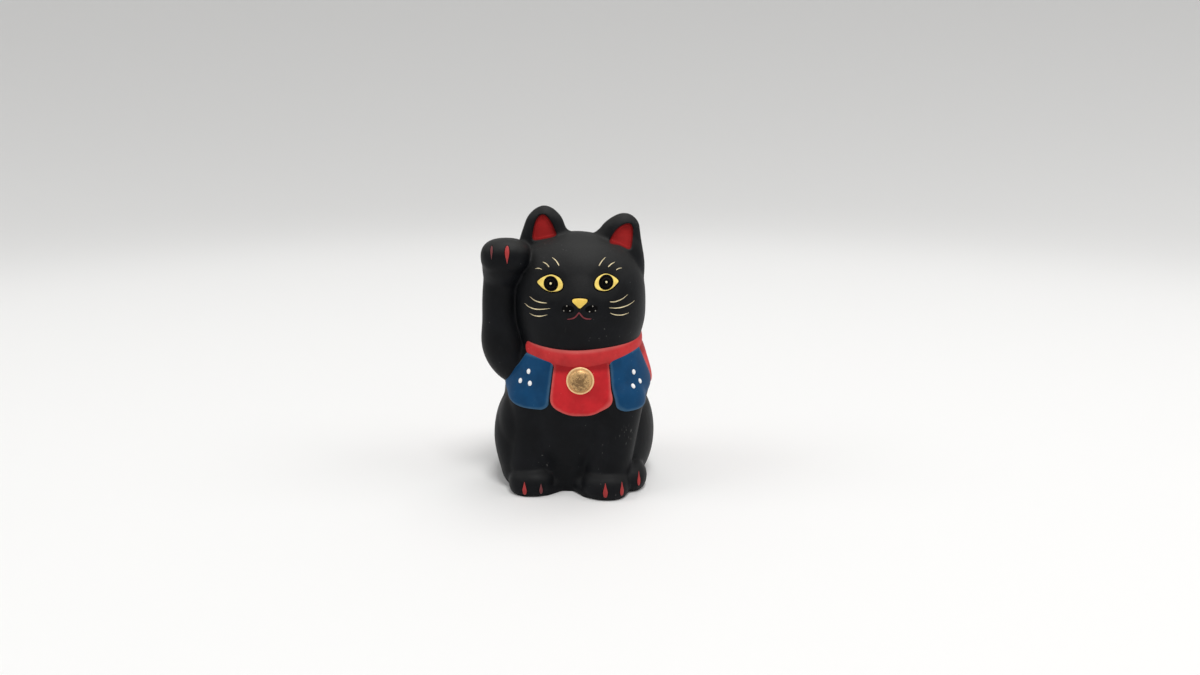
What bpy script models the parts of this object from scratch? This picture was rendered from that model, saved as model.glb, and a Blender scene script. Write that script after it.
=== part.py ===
"""A seated lucky cat of fired clay, painted matt black, with a bib, a bell and its right paw raised.

The cat faces -Y, +Z is up, and left and right are the cat's own, so its right paw is at -X.
The clay is cast hollow: a body and a head that meet at the neck, under the collar band. The raised
arm, the tail, the collar band, the bib's six panels and the bell are laid on with slip. The eyes,
nose, ear linings, claws and the bib's dots are thick enamel. Places are worked out about the neck's
axis, and an empty at the end carries the figure so that the middle of its base is the origin.
"""

import math

import bmesh
import bpy
from mathutils import Matrix, Vector
from mathutils.bvhtree import BVHTree

MM = 0.001

# Clay
WALL = 3.0 * MM
FLOOR_THICKNESS = 3.0 * MM
VENT_RADIUS = 4.0 * MM
FOOTING = 2.0 * MM  # how far the forms run below the floor before they are cut flat
JOINT_GAP = 0.3 * MM
CLAY_GRAIN = 0.6 * MM
CLAY_SMOOTHING = 9
BODY_FACES = 2600
HEAD_FACES = 3000
ARM_FACES = 1000
TAIL_FACES = 360
CORE_FACES = 600

# Trunk, from the floor to the neck
BODY_HEIGHT = 39.6 * MM
TRUNK_HALF_WIDTH = 20.8 * MM
TRUNK_FRONT = 17.4 * MM
TRUNK_BACK = 20.0 * MM
NECK_HALF_WIDTH = 15.6 * MM
NECK_FRONT = 15.9 * MM
NECK_BACK = 15.4 * MM
NECK_BORE = 9.5 * MM
BELLY_HALF_WIDTH = 15.0 * MM
BELLY_HALF_HEIGHT = 16.5 * MM
BELLY_DEPTH = 12.2 * MM

# Seat: the legs and haunches are turned a little from the head, and set to the cat's right
SEAT_OFFSET = 2.3 * MM
SEAT_TURN = math.radians(7.0)
HAUNCH_HALF_WIDTH = 9.4 * MM
HAUNCH_HALF_LENGTH = 13.2 * MM
HAUNCH_HALF_HEIGHT = 15.5 * MM
HAUNCH_MIDDLE = 10.8 * MM
HAUNCH_SPACING = 27.2 * MM
HAUNCH_SETBACK = 3.0 * MM
THIGH_HALF_WIDTH = 7.6 * MM  # of the right thigh only, which runs into the foreleg without a groove
THIGH_HALF_LENGTH = 9.6 * MM
THIGH_HALF_HEIGHT = 12.5 * MM
THIGH_MIDDLE = 15.5 * MM
THIGH_OUT = 12.4 * MM
THIGH_REACH = 6.0 * MM
SHOULDER_RADIUS = 7.6 * MM
RIGHT_SHOULDER_OUT = 8.4 * MM
LEFT_SHOULDER_OUT = 12.0 * MM
SHOULDER_REACH = 8.6 * MM
SHOULDER_DROP = 15.0 * MM
FORELEG_RADIUS = 6.5 * MM
FORELEG_SPACING = 20.0 * MM
FORELEG_REACH = 12.2 * MM
PAW_SQUARENESS = 2.7
FOREPAW_HALF_WIDTH = 6.4 * MM
FOREPAW_HALF_LENGTH = 6.6 * MM
FOREPAW_HEIGHT = 7.2 * MM
FOREPAW_REACH = 13.8 * MM
HINDPAW_HALF_WIDTH = 3.9 * MM
HINDPAW_HALF_LENGTH = 6.0 * MM
HINDPAW_HEIGHT = 7.4 * MM
HINDPAW_SPACING = 31.0 * MM
HINDPAW_REACH = 8.2 * MM
HINDPAW_SHIFT = 2.2 * MM

# Head, with its face and ears
HEAD_HEIGHT = 29.2 * MM
HEAD_HALF_WIDTH = 18.1 * MM
HEAD_FRONT = 17.4 * MM
HEAD_BACK = 16.2 * MM
CROWN_ROLL = 0.04
EAR_HALF_DEPTH = 4.4 * MM
EAR_ROOT = 8.8 * MM
RIGHT_EAR_X = -9.4 * MM
RIGHT_EAR_LEAN = 0.0 * MM
RIGHT_EAR_HALF_WIDTH = 8.0 * MM
RIGHT_EAR_RISE = 7.5 * MM
LEFT_EAR_X = 9.0 * MM
LEFT_EAR_LEAN = 3.1 * MM
LEFT_EAR_HALF_WIDTH = 8.1 * MM
LEFT_EAR_RISE = 5.5 * MM
LEFT_TEMPLE_X = 11.6 * MM
LEFT_TEMPLE_HALF_WIDTH = 6.4 * MM
LEFT_TEMPLE_HALF_DEPTH = 5.5 * MM
LEFT_TEMPLE_HALF_HEIGHT = 9.0 * MM
LEFT_TEMPLE_DROP = 4.8 * MM
EAR_HOLLOW = 1.4 * MM
MUZZLE_BUMP = 0.9 * MM
MUZZLE_HALF_WIDTH = 7.5 * MM
MUZZLE_HALF_HEIGHT = 6.0 * MM
SOCKET_DEPTH = 0.5 * MM
SOCKET_RADIUS = 5.0 * MM

# Raised arm, pressed against the side of the head
ARM_RADIUS = 5.3 * MM
ARM_NESTLE = 2.2 * MM
ARM_FORWARD = 3.4 * MM
ELBOW_RADIUS = 6.4 * MM
ELBOW_DROP = 9.0 * MM
WRIST_RADIUS = 5.7 * MM
RAISED_PAW_RISE = 23.4 * MM
RAISED_PAW_HALF_WIDTH = 6.5 * MM
RAISED_PAW_HALF_DEPTH = 6.6 * MM
RAISED_PAW_HALF_HEIGHT = 4.9 * MM
RAISED_PAW_REACH = 6.5 * MM

# Tail, curled up the back to the cat's left
TAIL_RADIUS = 3.6 * MM
TAIL_RISE = 16.0 * MM
TAIL_SINK = 0.4 * MM
TAIL_ROOT_ANGLE = -12.0
TAIL_TIP_ANGLE = 47.0

# Collar band, bib and bell; angles are in degrees round from the front, to the cat's left
BAND_HEIGHT = 4.8 * MM
BAND_THICKNESS = 3.0 * MM
BAND_STANDOFF = 0.7 * MM
BAND_DROP = 0.3 * MM
BAND_TILT = math.radians(3.7)
BIB_THICKNESS = 0.9 * MM
BIB_LENGTH = 15.7 * MM
FRONT_PANEL_DROP = 1.2 * MM
PANEL_SPACE = 0.4 * MM
BELL_X = 0.4 * MM
BELL_DROP = 7.2 * MM
BELL_RADIUS = 3.7 * MM
BELL_HEIGHT = 1.9 * MM
# The seams between the bib's panels, from the front round to the cat's left: at the band, at the hem
SEAMS = [(-25.5, -30.0), (26.0, 30.5), (79.0, 81.0), (151.0, 149.0), (209.0, 211.0), (264.0, 262.0)]
# How a hem's corner is cut: across, up and the rounding
FRONT_CORNER = (4.0 * MM, 1.8 * MM, 2.2 * MM)
INNER_CORNER = (1.4 * MM, 1.0 * MM, 0.8 * MM)
OUTER_CORNER = (5.0 * MM, 2.8 * MM, 2.6 * MM)
ARM_CORNER = (15.2 * MM, 7.4 * MM, 4.0 * MM)
SIDE_CORNER = (1.5 * MM, 1.5 * MM, 1.0 * MM)
REAR_CORNER = (2.0 * MM, 2.0 * MM, 1.4 * MM)
PANELS = [
    # name, hem's drop, its first and last corners, colour
    ("front", FRONT_PANEL_DROP, FRONT_CORNER, FRONT_CORNER, "red"),
    ("front_left", 0.0, INNER_CORNER, OUTER_CORNER, "blue"),
    ("side_left", 0.0, SIDE_CORNER, SIDE_CORNER, "red"),
    ("rear", 0.0, REAR_CORNER, REAR_CORNER, "blue"),
    ("side_right", 0.0, SIDE_CORNER, SIDE_CORNER, "red"),
    ("front_right", 0.0, ARM_CORNER, INNER_CORNER, "blue"),
]

# Enamel
ENAMEL_THICKNESS = 0.35 * MM
ENAMEL_GAP = 0.2 * MM
EYE_RISE = 18.3 * MM
EYE_SPACING = 14.2 * MM
EYE_HALF_WIDTH = 3.3 * MM
EYE_HALF_HEIGHT = 2.3 * MM
PUPIL_RADIUS = 1.75 * MM
GLINT_RADIUS = 0.38 * MM
NOSE_X = 0.4 * MM
NOSE_RISE = 13.8 * MM
NOSE_HALF_WIDTH = 1.95 * MM
NOSE_HALF_HEIGHT = 1.25 * MM
NOSE_THICKNESS = 0.5 * MM
CLAW_HALF_WIDTH = 0.62 * MM
DOT_HALF_WIDTH = 0.6 * MM
DOT_HALF_HEIGHT = 0.72 * MM

# Outlines of unit size, each run once round
CIRCLE = [(math.cos(math.tau * k / 8), math.sin(math.tau * k / 8)) for k in range(8)]
ALMOND = [
    (-1.0, 0.0), (-0.55, 0.62), (0.05, 1.0), (0.68, 0.72),
    (0.98, -0.05), (0.62, -0.75), (0.0, -1.0), (-0.6, -0.58),
]
NOSE = [
    (-1.0, 0.55), (-0.6, 0.98), (0.0, 0.9), (0.6, 0.98),
    (1.0, 0.55), (0.45, -0.45), (0.0, -1.0), (-0.45, -0.45),
]
CLAW = [
    (0.0, 1.0), (0.75, 0.35), (1.0, -0.25), (0.6, -0.8),
    (0.0, -1.0), (-0.6, -0.8), (-1.0, -0.25), (-0.75, 0.35),
]
# Ear linings: across and up as shares of the ear, and each corner's rounding as a share of its width
RIGHT_LINING = [
    (-0.44, 0.42, 0.12), (0.44, 0.50, 0.12), (0.23, 0.72, 0.25), (-0.03, 0.92, 0.20), (-0.35, 0.76, 0.25),
]
LEFT_LINING = [
    (0.65, 0.32, 0.12), (0.73, 0.77, 0.17), (0.56, 0.88, 0.15), (0.20, 0.75, 0.18), (-0.20, 0.51, 0.12),
]
# The three dots of a blue panel: the way round in degrees, and the height above the hem
BIB_DOTS = {
    "front_left": [(46.4, 9.3 * MM), (52.7, 6.4 * MM), (46.4, 5.8 * MM)],
    "front_right": [(-42.4, 10.3 * MM), (-48.0, 7.1 * MM), (-40.0, 6.7 * MM)],
    "rear": [(180.0, 10.3 * MM), (173.0, 6.9 * MM), (187.0, 6.9 * MM)],
}

PAINTS = {
    # base colour, roughness, metallic
    "matt_black": ((0.018, 0.018, 0.020), 0.62, 0.0),
    "pupil_black": ((0.004, 0.004, 0.004), 0.25, 0.0),
    "red": ((0.50, 0.03, 0.035), 0.5, 0.0),
    "blue": ((0.010, 0.065, 0.19), 0.5, 0.0),
    "gold": ((0.72, 0.47, 0.17), 0.38, 1.0),
    "yellow": ((0.83, 0.50, 0.09), 0.35, 0.0),
    "white": ((0.86, 0.86, 0.84), 0.4, 0.0),
}


def painted(piece, paint):
    """Gives a piece a material of its own."""
    colour, roughness, metallic = PAINTS[paint]
    material = bpy.data.materials.new(f"{piece.name}_{paint}")
    material.use_nodes = True
    shader = material.node_tree.nodes["Principled BSDF"]
    shader.inputs["Base Color"].default_value = (*colour, 1.0)
    shader.inputs["Roughness"].default_value = roughness
    shader.inputs["Metallic"].default_value = metallic
    piece.data.materials.clear()
    piece.data.materials.append(material)
    return piece


def shade(mesh):
    """Shades a mesh smooth, but for its sharp edges."""
    mesh.shade_smooth()
    mesh.set_sharp_from_angle(angle=math.radians(45.0))


def add_object(name, mesh, folder):
    """Puts a mesh, as flat triangles, in a collection."""
    shape = bmesh.new()
    shape.from_mesh(mesh)
    bmesh.ops.triangulate(shape, faces=shape.faces)
    shape.to_mesh(mesh)
    shape.free()
    piece = bpy.data.objects.new(name, mesh)
    folder.objects.link(piece)
    shade(mesh)
    return piece


def bake(piece):
    """Turns a piece's modifiers into its mesh."""
    bpy.context.view_layer.update()
    graph = bpy.context.evaluated_depsgraph_get()
    piece.data = bpy.data.meshes.new_from_object(piece.evaluated_get(graph))
    piece.modifiers.clear()
    shade(piece.data)


def mesh_of(shape, name):
    mesh = bpy.data.meshes.new(name)
    shape.to_mesh(mesh)
    shape.free()
    return mesh


def unit_sphere(segments, rings):
    shape = bmesh.new()
    bmesh.ops.create_uvsphere(shape, u_segments=segments, v_segments=rings, radius=1.0)
    return shape


def along(stations, share):
    """The row at share (0 to 1) of a smooth curve through evenly spaced rows of numbers."""
    place = share * (len(stations) - 1)
    low = min(int(place), len(stations) - 2)
    t = place - low
    rows = [stations[max(0, min(len(stations) - 1, low + k))] for k in (-1, 0, 1, 2)]
    return [
        0.5 * (2 * b + (c - a) * t + (2 * a - 5 * b + 4 * c - d) * t**2 + (3 * b - a - 3 * c + d) * t**3)
        for a, b, c, d in zip(*rows)
    ]


def ball(centre, radii, turn=0.0, squareness=2.0):
    """An ellipsoid, or a boxier form where the squareness is more than 2, turned about Z."""
    shape = unit_sphere(24, 16)
    for point in shape.verts:
        reach = sum(abs(c) ** squareness for c in point.co) ** (1 / squareness)
        x, y, z = (c / reach * r for c, r in zip(point.co, radii))
        point.co = (
            centre[0] + x * math.cos(turn) - y * math.sin(turn),
            centre[1] + x * math.sin(turn) + y * math.cos(turn),
            centre[2] + z,
        )
    return mesh_of(shape, "ball")


def limb(stations, count):
    """Balls strung along a smooth curve; a station is (x, y, z, radius)."""
    found = []
    for k in range(count):
        x, y, z, radius = along(stations, k / (count - 1))
        found.append(ball((x, y, z), (radius,) * 3))
    return found


def loft(sections, low, high, squareness, rings=28, tip=0.0):
    """A closed form through level sections, evenly spaced from low to high.

    A section is (centre x, half width, reach to the front, reach to the back). A squareness of 2
    makes ovals, and more makes them boxier. The tip is the share of the height that is rounded off
    at the top.
    """
    shape = unit_sphere(36, rings)
    for point in shape.verts:
        share = (point.co.z + 1) / 2
        x, half_width, front, back = along(sections, share)
        if share > 1 - tip:
            rounding = math.sqrt(max(0.0, 1 - ((share - 1 + tip) / tip) ** 2))
            half_width, front, back = half_width * rounding, front * rounding, back * rounding
        y = 0.0
        flat = math.hypot(point.co.x, point.co.y)
        if flat > 1e-6:
            across, deep = point.co.x / flat, point.co.y / flat
            x += math.copysign(abs(across) ** (2 / squareness), across) * half_width
            y += math.copysign(abs(deep) ** (2 / squareness), deep) * (back if deep > 0 else front)
        point.co = (x, y, low + (high - low) * share)
    return mesh_of(shape, "loft")


def upright(radius, low, high, x=0.0, y=0.0):
    """A cylinder from one height to another."""
    shape = bmesh.new()
    bmesh.ops.create_cone(
        shape, cap_ends=True, segments=32, radius1=radius, radius2=radius, depth=high - low
    )
    for point in shape.verts:
        point.co += Vector((x, y, (low + high) / 2))
    return mesh_of(shape, "upright")


def modelled(name, meshes, folder, faces, grain=CLAY_GRAIN, smoothing=CLAY_SMOOTHING, pressing=None):
    """Meshes kneaded into one smooth body of about so many triangles."""
    joined = bmesh.new()
    for mesh in meshes:
        joined.from_mesh(mesh)
        bpy.data.meshes.remove(mesh)
    lump = add_object(name, mesh_of(joined, name), folder)
    knead = lump.modifiers.new("knead", "REMESH")
    knead.mode = "VOXEL"
    knead.voxel_size = grain
    smooth = lump.modifiers.new("smooth", "SMOOTH")
    smooth.factor = 0.5
    smooth.iterations = smoothing
    bake(lump)
    if pressing:
        pressing(lump.data)
    thin = lump.modifiers.new("fewer faces", "DECIMATE")
    thin.ratio = min(1.0, faces / (2 * len(lump.data.polygons)))
    thin.use_collapse_triangulate = True
    bake(lump)
    return lump


def cut(piece, cutter):
    """Takes the cutter's space out of the piece."""
    cutter.hide_render = True
    cutter.display_type = "WIRE"
    bite = piece.modifiers.new("cut", "BOOLEAN")
    bite.operation = "DIFFERENCE"
    bite.object = cutter
    bake(piece)


def hollow(piece, meshes, folder):
    """Opens the inside of a cast piece."""
    cut(piece, modelled(piece.name + "_core", meshes, folder, CORE_FACES, grain=1.0 * MM, smoothing=4))


def room_for(piece, folder):
    """A cutter that stands off a piece by the joint's gap."""
    cutter = add_object(piece.name + "_room", piece.data.copy(), folder)
    swell = cutter.modifiers.new("swell", "DISPLACE")
    swell.strength = JOINT_GAP
    swell.mid_level = 0.0
    bake(cutter)
    return cutter


def slab(name, low, high, folder):
    """A wide block between two heights."""
    shape = bmesh.new()
    bmesh.ops.create_cube(shape, size=1.0)
    reach = 4 * (TRUNK_HALF_WIDTH + TRUNK_BACK)
    for point in shape.verts:
        point.co = (point.co.x * reach, point.co.y * reach, low + (high - low) * (point.co.z + 0.5))
    return add_object(name, mesh_of(shape, name), folder)


def skin_of(piece):
    mesh = piece.data
    return BVHTree.FromPolygons(
        [point.co for point in mesh.vertices], [face.vertices for face in mesh.polygons]
    )


def curved(points, x, z, half_width, half_height):
    """A smooth closed outline through a few points, sized and put in its place."""
    ring = [*points[-1:], *points, *points[:2]]
    steps = 6 * len(points)
    found = [along(ring, (1 + len(points) * k / steps) / (len(ring) - 1)) for k in range(steps)]
    return [(x + u * half_width, z + v * half_height) for u, v in found]


def cornered(corners, steps=6):
    """A closed outline with straight sides and rounded corners; a corner is (u, v, rounding)."""
    found = []
    for k, (u, v, rounding) in enumerate(corners):
        corner = Vector((u, v))
        ends = []
        for other in (corners[k - 1], corners[(k + 1) % len(corners)]):
            ends.append(corner + (Vector(other[:2]) - corner).normalized() * rounding)
        for step in range(steps + 1):
            t = step / steps
            found.append(tuple(ends[0] * (1 - t) ** 2 + corner * 2 * t * (1 - t) + ends[1] * t**2))
    return found


def evenly(outline, count):
    """So many points, evenly spaced along a closed outline."""
    closed = [*outline, outline[0]]
    lengths = [0.0]
    for a, b in zip(closed, closed[1:]):
        lengths.append(lengths[-1] + math.dist(a, b))
    found, k = [], 0
    for step in range(count):
        goal = lengths[-1] * step / count
        while lengths[k + 1] < goal:
            k += 1
        t = (goal - lengths[k]) / (lengths[k + 1] - lengths[k])
        found.append(tuple(p + (q - p) * t for p, q in zip(closed[k], closed[k + 1])))
    return found


def from_front(u, v):
    """The start and direction of a level ray at the figure's front; u is to the cat's left, v is up."""
    return Vector((u, -4 * HEAD_FRONT, v)), Vector((0.0, 1.0, 0.0))


def from_around(u, v):
    """A level ray at the neck's axis; u is the way round the trunk from the front, v is up."""
    outward = Vector((math.sin(u / TRUNK_FRONT), -math.cos(u / TRUNK_FRONT), 0.0))
    return outward * 4 * TRUNK_HALF_WIDTH + Vector((0.0, 0.0, v)), -outward


def laid_on(name, skin, aim, outline, thickness, gap, folder, paint, fullness=2.0, segments=16, rings=6):
    """A pat of clay or enamel that lies on a skin, with a rounded edge.

    The outline is in the plane of the aim's u and v, and its rays find the skin. A larger fullness
    makes a flatter top with a tighter edge.
    """
    rim = evenly(outline, segments)
    middle = [sum(p[k] for p in rim) / segments for k in (0, 1)]
    shape = unit_sphere(segments, rings)
    for point in shape.verts:
        share = min(1.0, math.hypot(point.co.x, point.co.y))
        spoke = round(math.atan2(point.co.y, point.co.x) / math.tau * segments) % segments
        u, v = (m + (r - m) * share for m, r in zip(middle, rim[spoke]))
        start, way = aim(u, v)
        hit, normal, _, _ = skin.ray_cast(start, way)
        if hit is None:
            hit, normal, _, _ = skin.find_nearest(start)
        height = gap / max(0.5, abs(normal.dot(way)))
        if point.co.z > 1e-6:
            height += thickness * (1 - share**fullness) ** (1 / fullness)
        point.co = hit - way * height
    if shape.calc_volume(signed=True) < 0:
        bmesh.ops.reverse_faces(shape, faces=shape.faces)
    return painted(add_object(name, mesh_of(shape, name), folder), paint)


def seat_point(across, forward, height):
    """A point of the turned seat, in the figure's own directions."""
    return (
        -SEAT_OFFSET + across * math.cos(SEAT_TURN) - forward * math.sin(SEAT_TURN),
        -across * math.sin(SEAT_TURN) - forward * math.cos(SEAT_TURN),
        height,
    )


def trunk_sections(inset=0.0):
    """The trunk's level sections from the floor to the neck, less an inset."""
    shares = [
        # shares of the half width, the front and the back, and how far the seat's offset is felt
        (0.87, 0.83, 0.92, 1.0),
        (0.89, 0.87, 0.99, 1.0),
        (0.91, 0.93, 1.00, 1.0),
        (0.94, 0.99, 0.97, 0.7),
        (0.95, 1.00, 0.92, 0.3),
        (0.90, 0.98, 0.86, 0.1),
    ]
    sections = []
    for wide, front, back, felt in shares:
        reaches = (TRUNK_HALF_WIDTH * wide, TRUNK_FRONT * front, TRUNK_BACK * back)
        sections.append((-SEAT_OFFSET * felt, *(reach - inset for reach in reaches)))
    return [*sections, (0.0, NECK_HALF_WIDTH - inset, NECK_FRONT - inset, NECK_BACK - inset)]


def body_clay():
    belly = seat_point(0.0, TRUNK_FRONT - BELLY_DEPTH, BELLY_HALF_HEIGHT)
    found = [
        loft(trunk_sections(), -FOOTING, BODY_HEIGHT + WALL, squareness=2.1),
        ball(belly, (BELLY_HALF_WIDTH, BELLY_DEPTH, BELLY_HALF_HEIGHT), -SEAT_TURN),
    ]
    thigh = seat_point(-THIGH_OUT, THIGH_REACH, THIGH_MIDDLE)
    found.append(ball(thigh, (THIGH_HALF_WIDTH, THIGH_HALF_LENGTH, THIGH_HALF_HEIGHT), -SEAT_TURN))
    for side, shoulder_out in ((-1, RIGHT_SHOULDER_OUT), (1, LEFT_SHOULDER_OUT)):
        haunch = seat_point(side * HAUNCH_SPACING / 2, -HAUNCH_SETBACK, HAUNCH_MIDDLE)
        haunch_radii = (HAUNCH_HALF_WIDTH, HAUNCH_HALF_LENGTH, HAUNCH_HALF_HEIGHT)
        forepaw_radii = (FOREPAW_HALF_WIDTH, FOREPAW_HALF_LENGTH, FOREPAW_HEIGHT * 0.64)
        hindpaw_radii = (HINDPAW_HALF_WIDTH, HINDPAW_HALF_LENGTH, HINDPAW_HEIGHT * 0.6)
        found.append(ball(haunch, haunch_radii, -SEAT_TURN))
        found.append(ball(forepaw_centre(side), forepaw_radii, -SEAT_TURN, PAW_SQUARENESS))
        found.append(ball(hindpaw_centre(side), hindpaw_radii, -SEAT_TURN))
        shoulder = seat_point(side * shoulder_out, SHOULDER_REACH, BODY_HEIGHT - SHOULDER_DROP)
        ankle = seat_point(side * FORELEG_SPACING / 2, FORELEG_REACH, FOREPAW_HEIGHT)
        found += limb([(*shoulder, SHOULDER_RADIUS), (*ankle, FORELEG_RADIUS)], 10)
    return found


def forepaw_centre(side):
    return seat_point(side * FORELEG_SPACING / 2, FOREPAW_REACH, FOREPAW_HEIGHT * 0.36)


def hindpaw_centre(side):
    return seat_point(side * HINDPAW_SPACING / 2 + HINDPAW_SHIFT, HINDPAW_REACH, HINDPAW_HEIGHT * 0.4)


def head_sections(inset=0.0):
    """The head's level sections from the neck to the crown, less an inset."""
    shares = [
        # shares of the half width, the front and the back
        (0.93, 0.955, 0.965),
        (0.99, 0.99, 0.99),
        (1.00, 1.00, 1.00),
        (0.985, 0.955, 0.99),
        (0.925, 0.865, 0.94),
        (0.77, 0.69, 0.79),
        (0.42, 0.38, 0.46),
    ]
    sections = [
        (0.0, HEAD_HALF_WIDTH * wide - inset, HEAD_FRONT * front - inset, HEAD_BACK * back - inset)
        for wide, front, back in shares
    ]
    return [(0.0, NECK_HALF_WIDTH - inset, NECK_FRONT - inset, NECK_BACK - inset), *sections]


def head_clay():
    skull = loft(head_sections(), BODY_HEIGHT - WALL, BODY_HEIGHT + HEAD_HEIGHT, squareness=2.15)
    for point in skull.vertices:
        share = max(0.0, (point.co.z - BODY_HEIGHT) / HEAD_HEIGHT)
        point.co.z -= point.co.x * CROWN_ROLL * share
    temple = (LEFT_TEMPLE_X, 0.0, BODY_HEIGHT + HEAD_HEIGHT - LEFT_TEMPLE_DROP)
    return [
        skull,
        ball(temple, (LEFT_TEMPLE_HALF_WIDTH, LEFT_TEMPLE_HALF_DEPTH, LEFT_TEMPLE_HALF_HEIGHT)),
        ear(RIGHT_EAR_X, RIGHT_EAR_LEAN, RIGHT_EAR_HALF_WIDTH, RIGHT_EAR_RISE),
        ear(LEFT_EAR_X, LEFT_EAR_LEAN, LEFT_EAR_HALF_WIDTH, LEFT_EAR_RISE),
    ]


def ear(x, lean, half_width, rise):
    """A leaf that stands on the crown."""
    shares = [
        # shares of the lean, the half width and the half depth, from the root to the tip
        (0.0, 1.0, 1.0),
        (0.17, 0.965, 0.97),
        (0.37, 0.82, 0.85),
        (0.69, 0.64, 0.70),
        (1.0, 0.48, 0.54),
    ]
    sections = [
        (x + lean * out, half_width * wide, EAR_HALF_DEPTH * deep, EAR_HALF_DEPTH * deep)
        for out, wide, deep in shares
    ]
    crown = BODY_HEIGHT + HEAD_HEIGHT
    return loft(sections, crown - EAR_ROOT, crown + rise, squareness=2.0, rings=24, tip=0.25)


def ear_place(x, half_width, rise, across, up):
    """A point of an ear's face, from its shares across and up."""
    return x + half_width * across, BODY_HEIGHT + HEAD_HEIGHT - EAR_ROOT + (EAR_ROOT + rise) * up


def press_face(mesh):
    """Hollows the ears and the eye sockets and raises the muzzle, on the side that faces forward."""
    touches = [
        (NOSE_X, BODY_HEIGHT + NOSE_RISE - 2.0 * MM, MUZZLE_HALF_WIDTH, MUZZLE_HALF_HEIGHT, -MUZZLE_BUMP),
        (-EYE_SPACING / 2, BODY_HEIGHT + EYE_RISE, SOCKET_RADIUS, SOCKET_RADIUS, SOCKET_DEPTH),
        (EYE_SPACING / 2, BODY_HEIGHT + EYE_RISE, SOCKET_RADIUS, SOCKET_RADIUS, SOCKET_DEPTH),
    ]
    for x, half_width, rise, across in (
        (RIGHT_EAR_X, RIGHT_EAR_HALF_WIDTH, RIGHT_EAR_RISE, 0.0),
        (LEFT_EAR_X, LEFT_EAR_HALF_WIDTH, LEFT_EAR_RISE, 0.35),
    ):
        middle, height = ear_place(x, half_width, rise, across, 0.63)
        touches.append((middle, height, half_width * 0.6, (EAR_ROOT + rise) * 0.34, EAR_HOLLOW))
    fronts = [point for point in mesh.vertices if point.normal.y < 0]
    for x, z, half_width, half_height, depth in touches:
        for point in fronts:
            off = ((point.co.x - x) / half_width) ** 2 + ((point.co.z - z) / half_height) ** 2
            if off < 1:
                point.co.y += depth * (1 - off) ** 2


def arm_reach():
    """How far out the raised arm's middle is, so that it lies against the head."""
    return HEAD_HALF_WIDTH + ARM_RADIUS - ARM_NESTLE


def raised_paw_centre():
    return -arm_reach() + ARM_RADIUS * 0.3, -RAISED_PAW_REACH, BODY_HEIGHT + RAISED_PAW_RISE


def arm_clay():
    out = arm_reach()
    elbow = BODY_HEIGHT - ELBOW_DROP
    paw_x, paw_y, paw_z = raised_paw_centre()
    wrist = paw_z - RAISED_PAW_HALF_HEIGHT
    stations = [
        # from the shoulder round the elbow and up to the wrist
        (-out * 0.68, -ARM_FORWARD * 0.7, elbow + 0.5 * MM, ELBOW_RADIUS * 0.85),
        (-out * 0.865, -ARM_FORWARD * 0.76, elbow + ELBOW_RADIUS * 0.56, ELBOW_RADIUS * 0.97),
        (-out * 0.97, -ARM_FORWARD * 0.88, elbow + ELBOW_RADIUS * 1.28, ELBOW_RADIUS),
        (-out, -ARM_FORWARD * 0.94, elbow + (wrist - elbow) * 0.53, ARM_RADIUS * 1.03),
        (-out, -ARM_FORWARD, elbow + (wrist - elbow) * 0.78, ARM_RADIUS * 0.98),
        (-out, -ARM_FORWARD * 1.1, wrist + 0.5 * MM, ARM_RADIUS),
    ]
    paw_radii = (RAISED_PAW_HALF_WIDTH, RAISED_PAW_HALF_DEPTH, RAISED_PAW_HALF_HEIGHT)
    wrist_place = (paw_x - 0.2 * ARM_RADIUS, paw_y * 0.86, wrist + 1.5 * MM)
    return [
        *limb(stations, 20),
        ball(wrist_place, (WRIST_RADIUS,) * 3),
        ball((paw_x, paw_y, paw_z), paw_radii, squareness=PAW_SQUARENESS),
    ]


def tail_clay():
    stations = []
    for k in range(5):
        share = k / 4
        angle = math.radians(TAIL_ROOT_ANGLE + (TAIL_TIP_ANGLE - TAIL_ROOT_ANGLE) * share**0.8)
        back = TRUNK_BACK + TAIL_SINK
        stations.append(
            (
                math.sin(angle) * back - SEAT_OFFSET,
                math.cos(angle) * back,
                TAIL_RADIUS * 0.9 + (TAIL_RISE - TAIL_RADIUS * 0.9) * share**2,
                TAIL_RADIUS * (1 - 0.3 * share**2),
            )
        )
    return limb(stations, 18)


def body_core():
    """The space inside the body, from its floor up through the neck."""
    core = loft(trunk_sections(WALL), FLOOR_THICKNESS, BODY_HEIGHT - WALL, squareness=2.1)
    return [core, upright(NECK_BORE, BODY_HEIGHT - 4 * WALL, BODY_HEIGHT + WALL)]


def head_core():
    """The space inside the head, down through the neck."""
    low = BODY_HEIGHT + WALL
    core = loft(head_sections(WALL), low, BODY_HEIGHT + HEAD_HEIGHT - WALL, squareness=2.15)
    return [core, upright(NECK_BORE, BODY_HEIGHT - WALL, low + 2 * WALL)]


def band_height(angle):
    """The height of the collar band's middle, which tilts down to the front."""
    return BODY_HEIGHT - BAND_DROP - math.cos(angle) * (NECK_FRONT + BAND_STANDOFF) * math.tan(BAND_TILT)


def band_ring(name, folder, room=0.0):
    """The collar band: a ring round the neck with an upright oval section."""
    bpy.ops.mesh.primitive_torus_add(
        major_radius=10 * MM, minor_radius=1 * MM, major_segments=44, minor_segments=8
    )
    made = bpy.context.object
    mesh = made.data.copy()
    bpy.data.objects.remove(made)
    for point in mesh.vertices:
        x, y, z = point.co
        ring = math.hypot(x, y)
        swell = BAND_STANDOFF + (ring - 10 * MM) / MM * (BAND_THICKNESS / 2 + room)
        point.co = (
            x / ring * (NECK_HALF_WIDTH + swell),
            y / ring * (NECK_FRONT + swell),
            band_height(math.atan2(x, -y)) + z / MM * (BAND_HEIGHT / 2 + room),
        )
    return add_object(name, mesh, folder)


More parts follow.
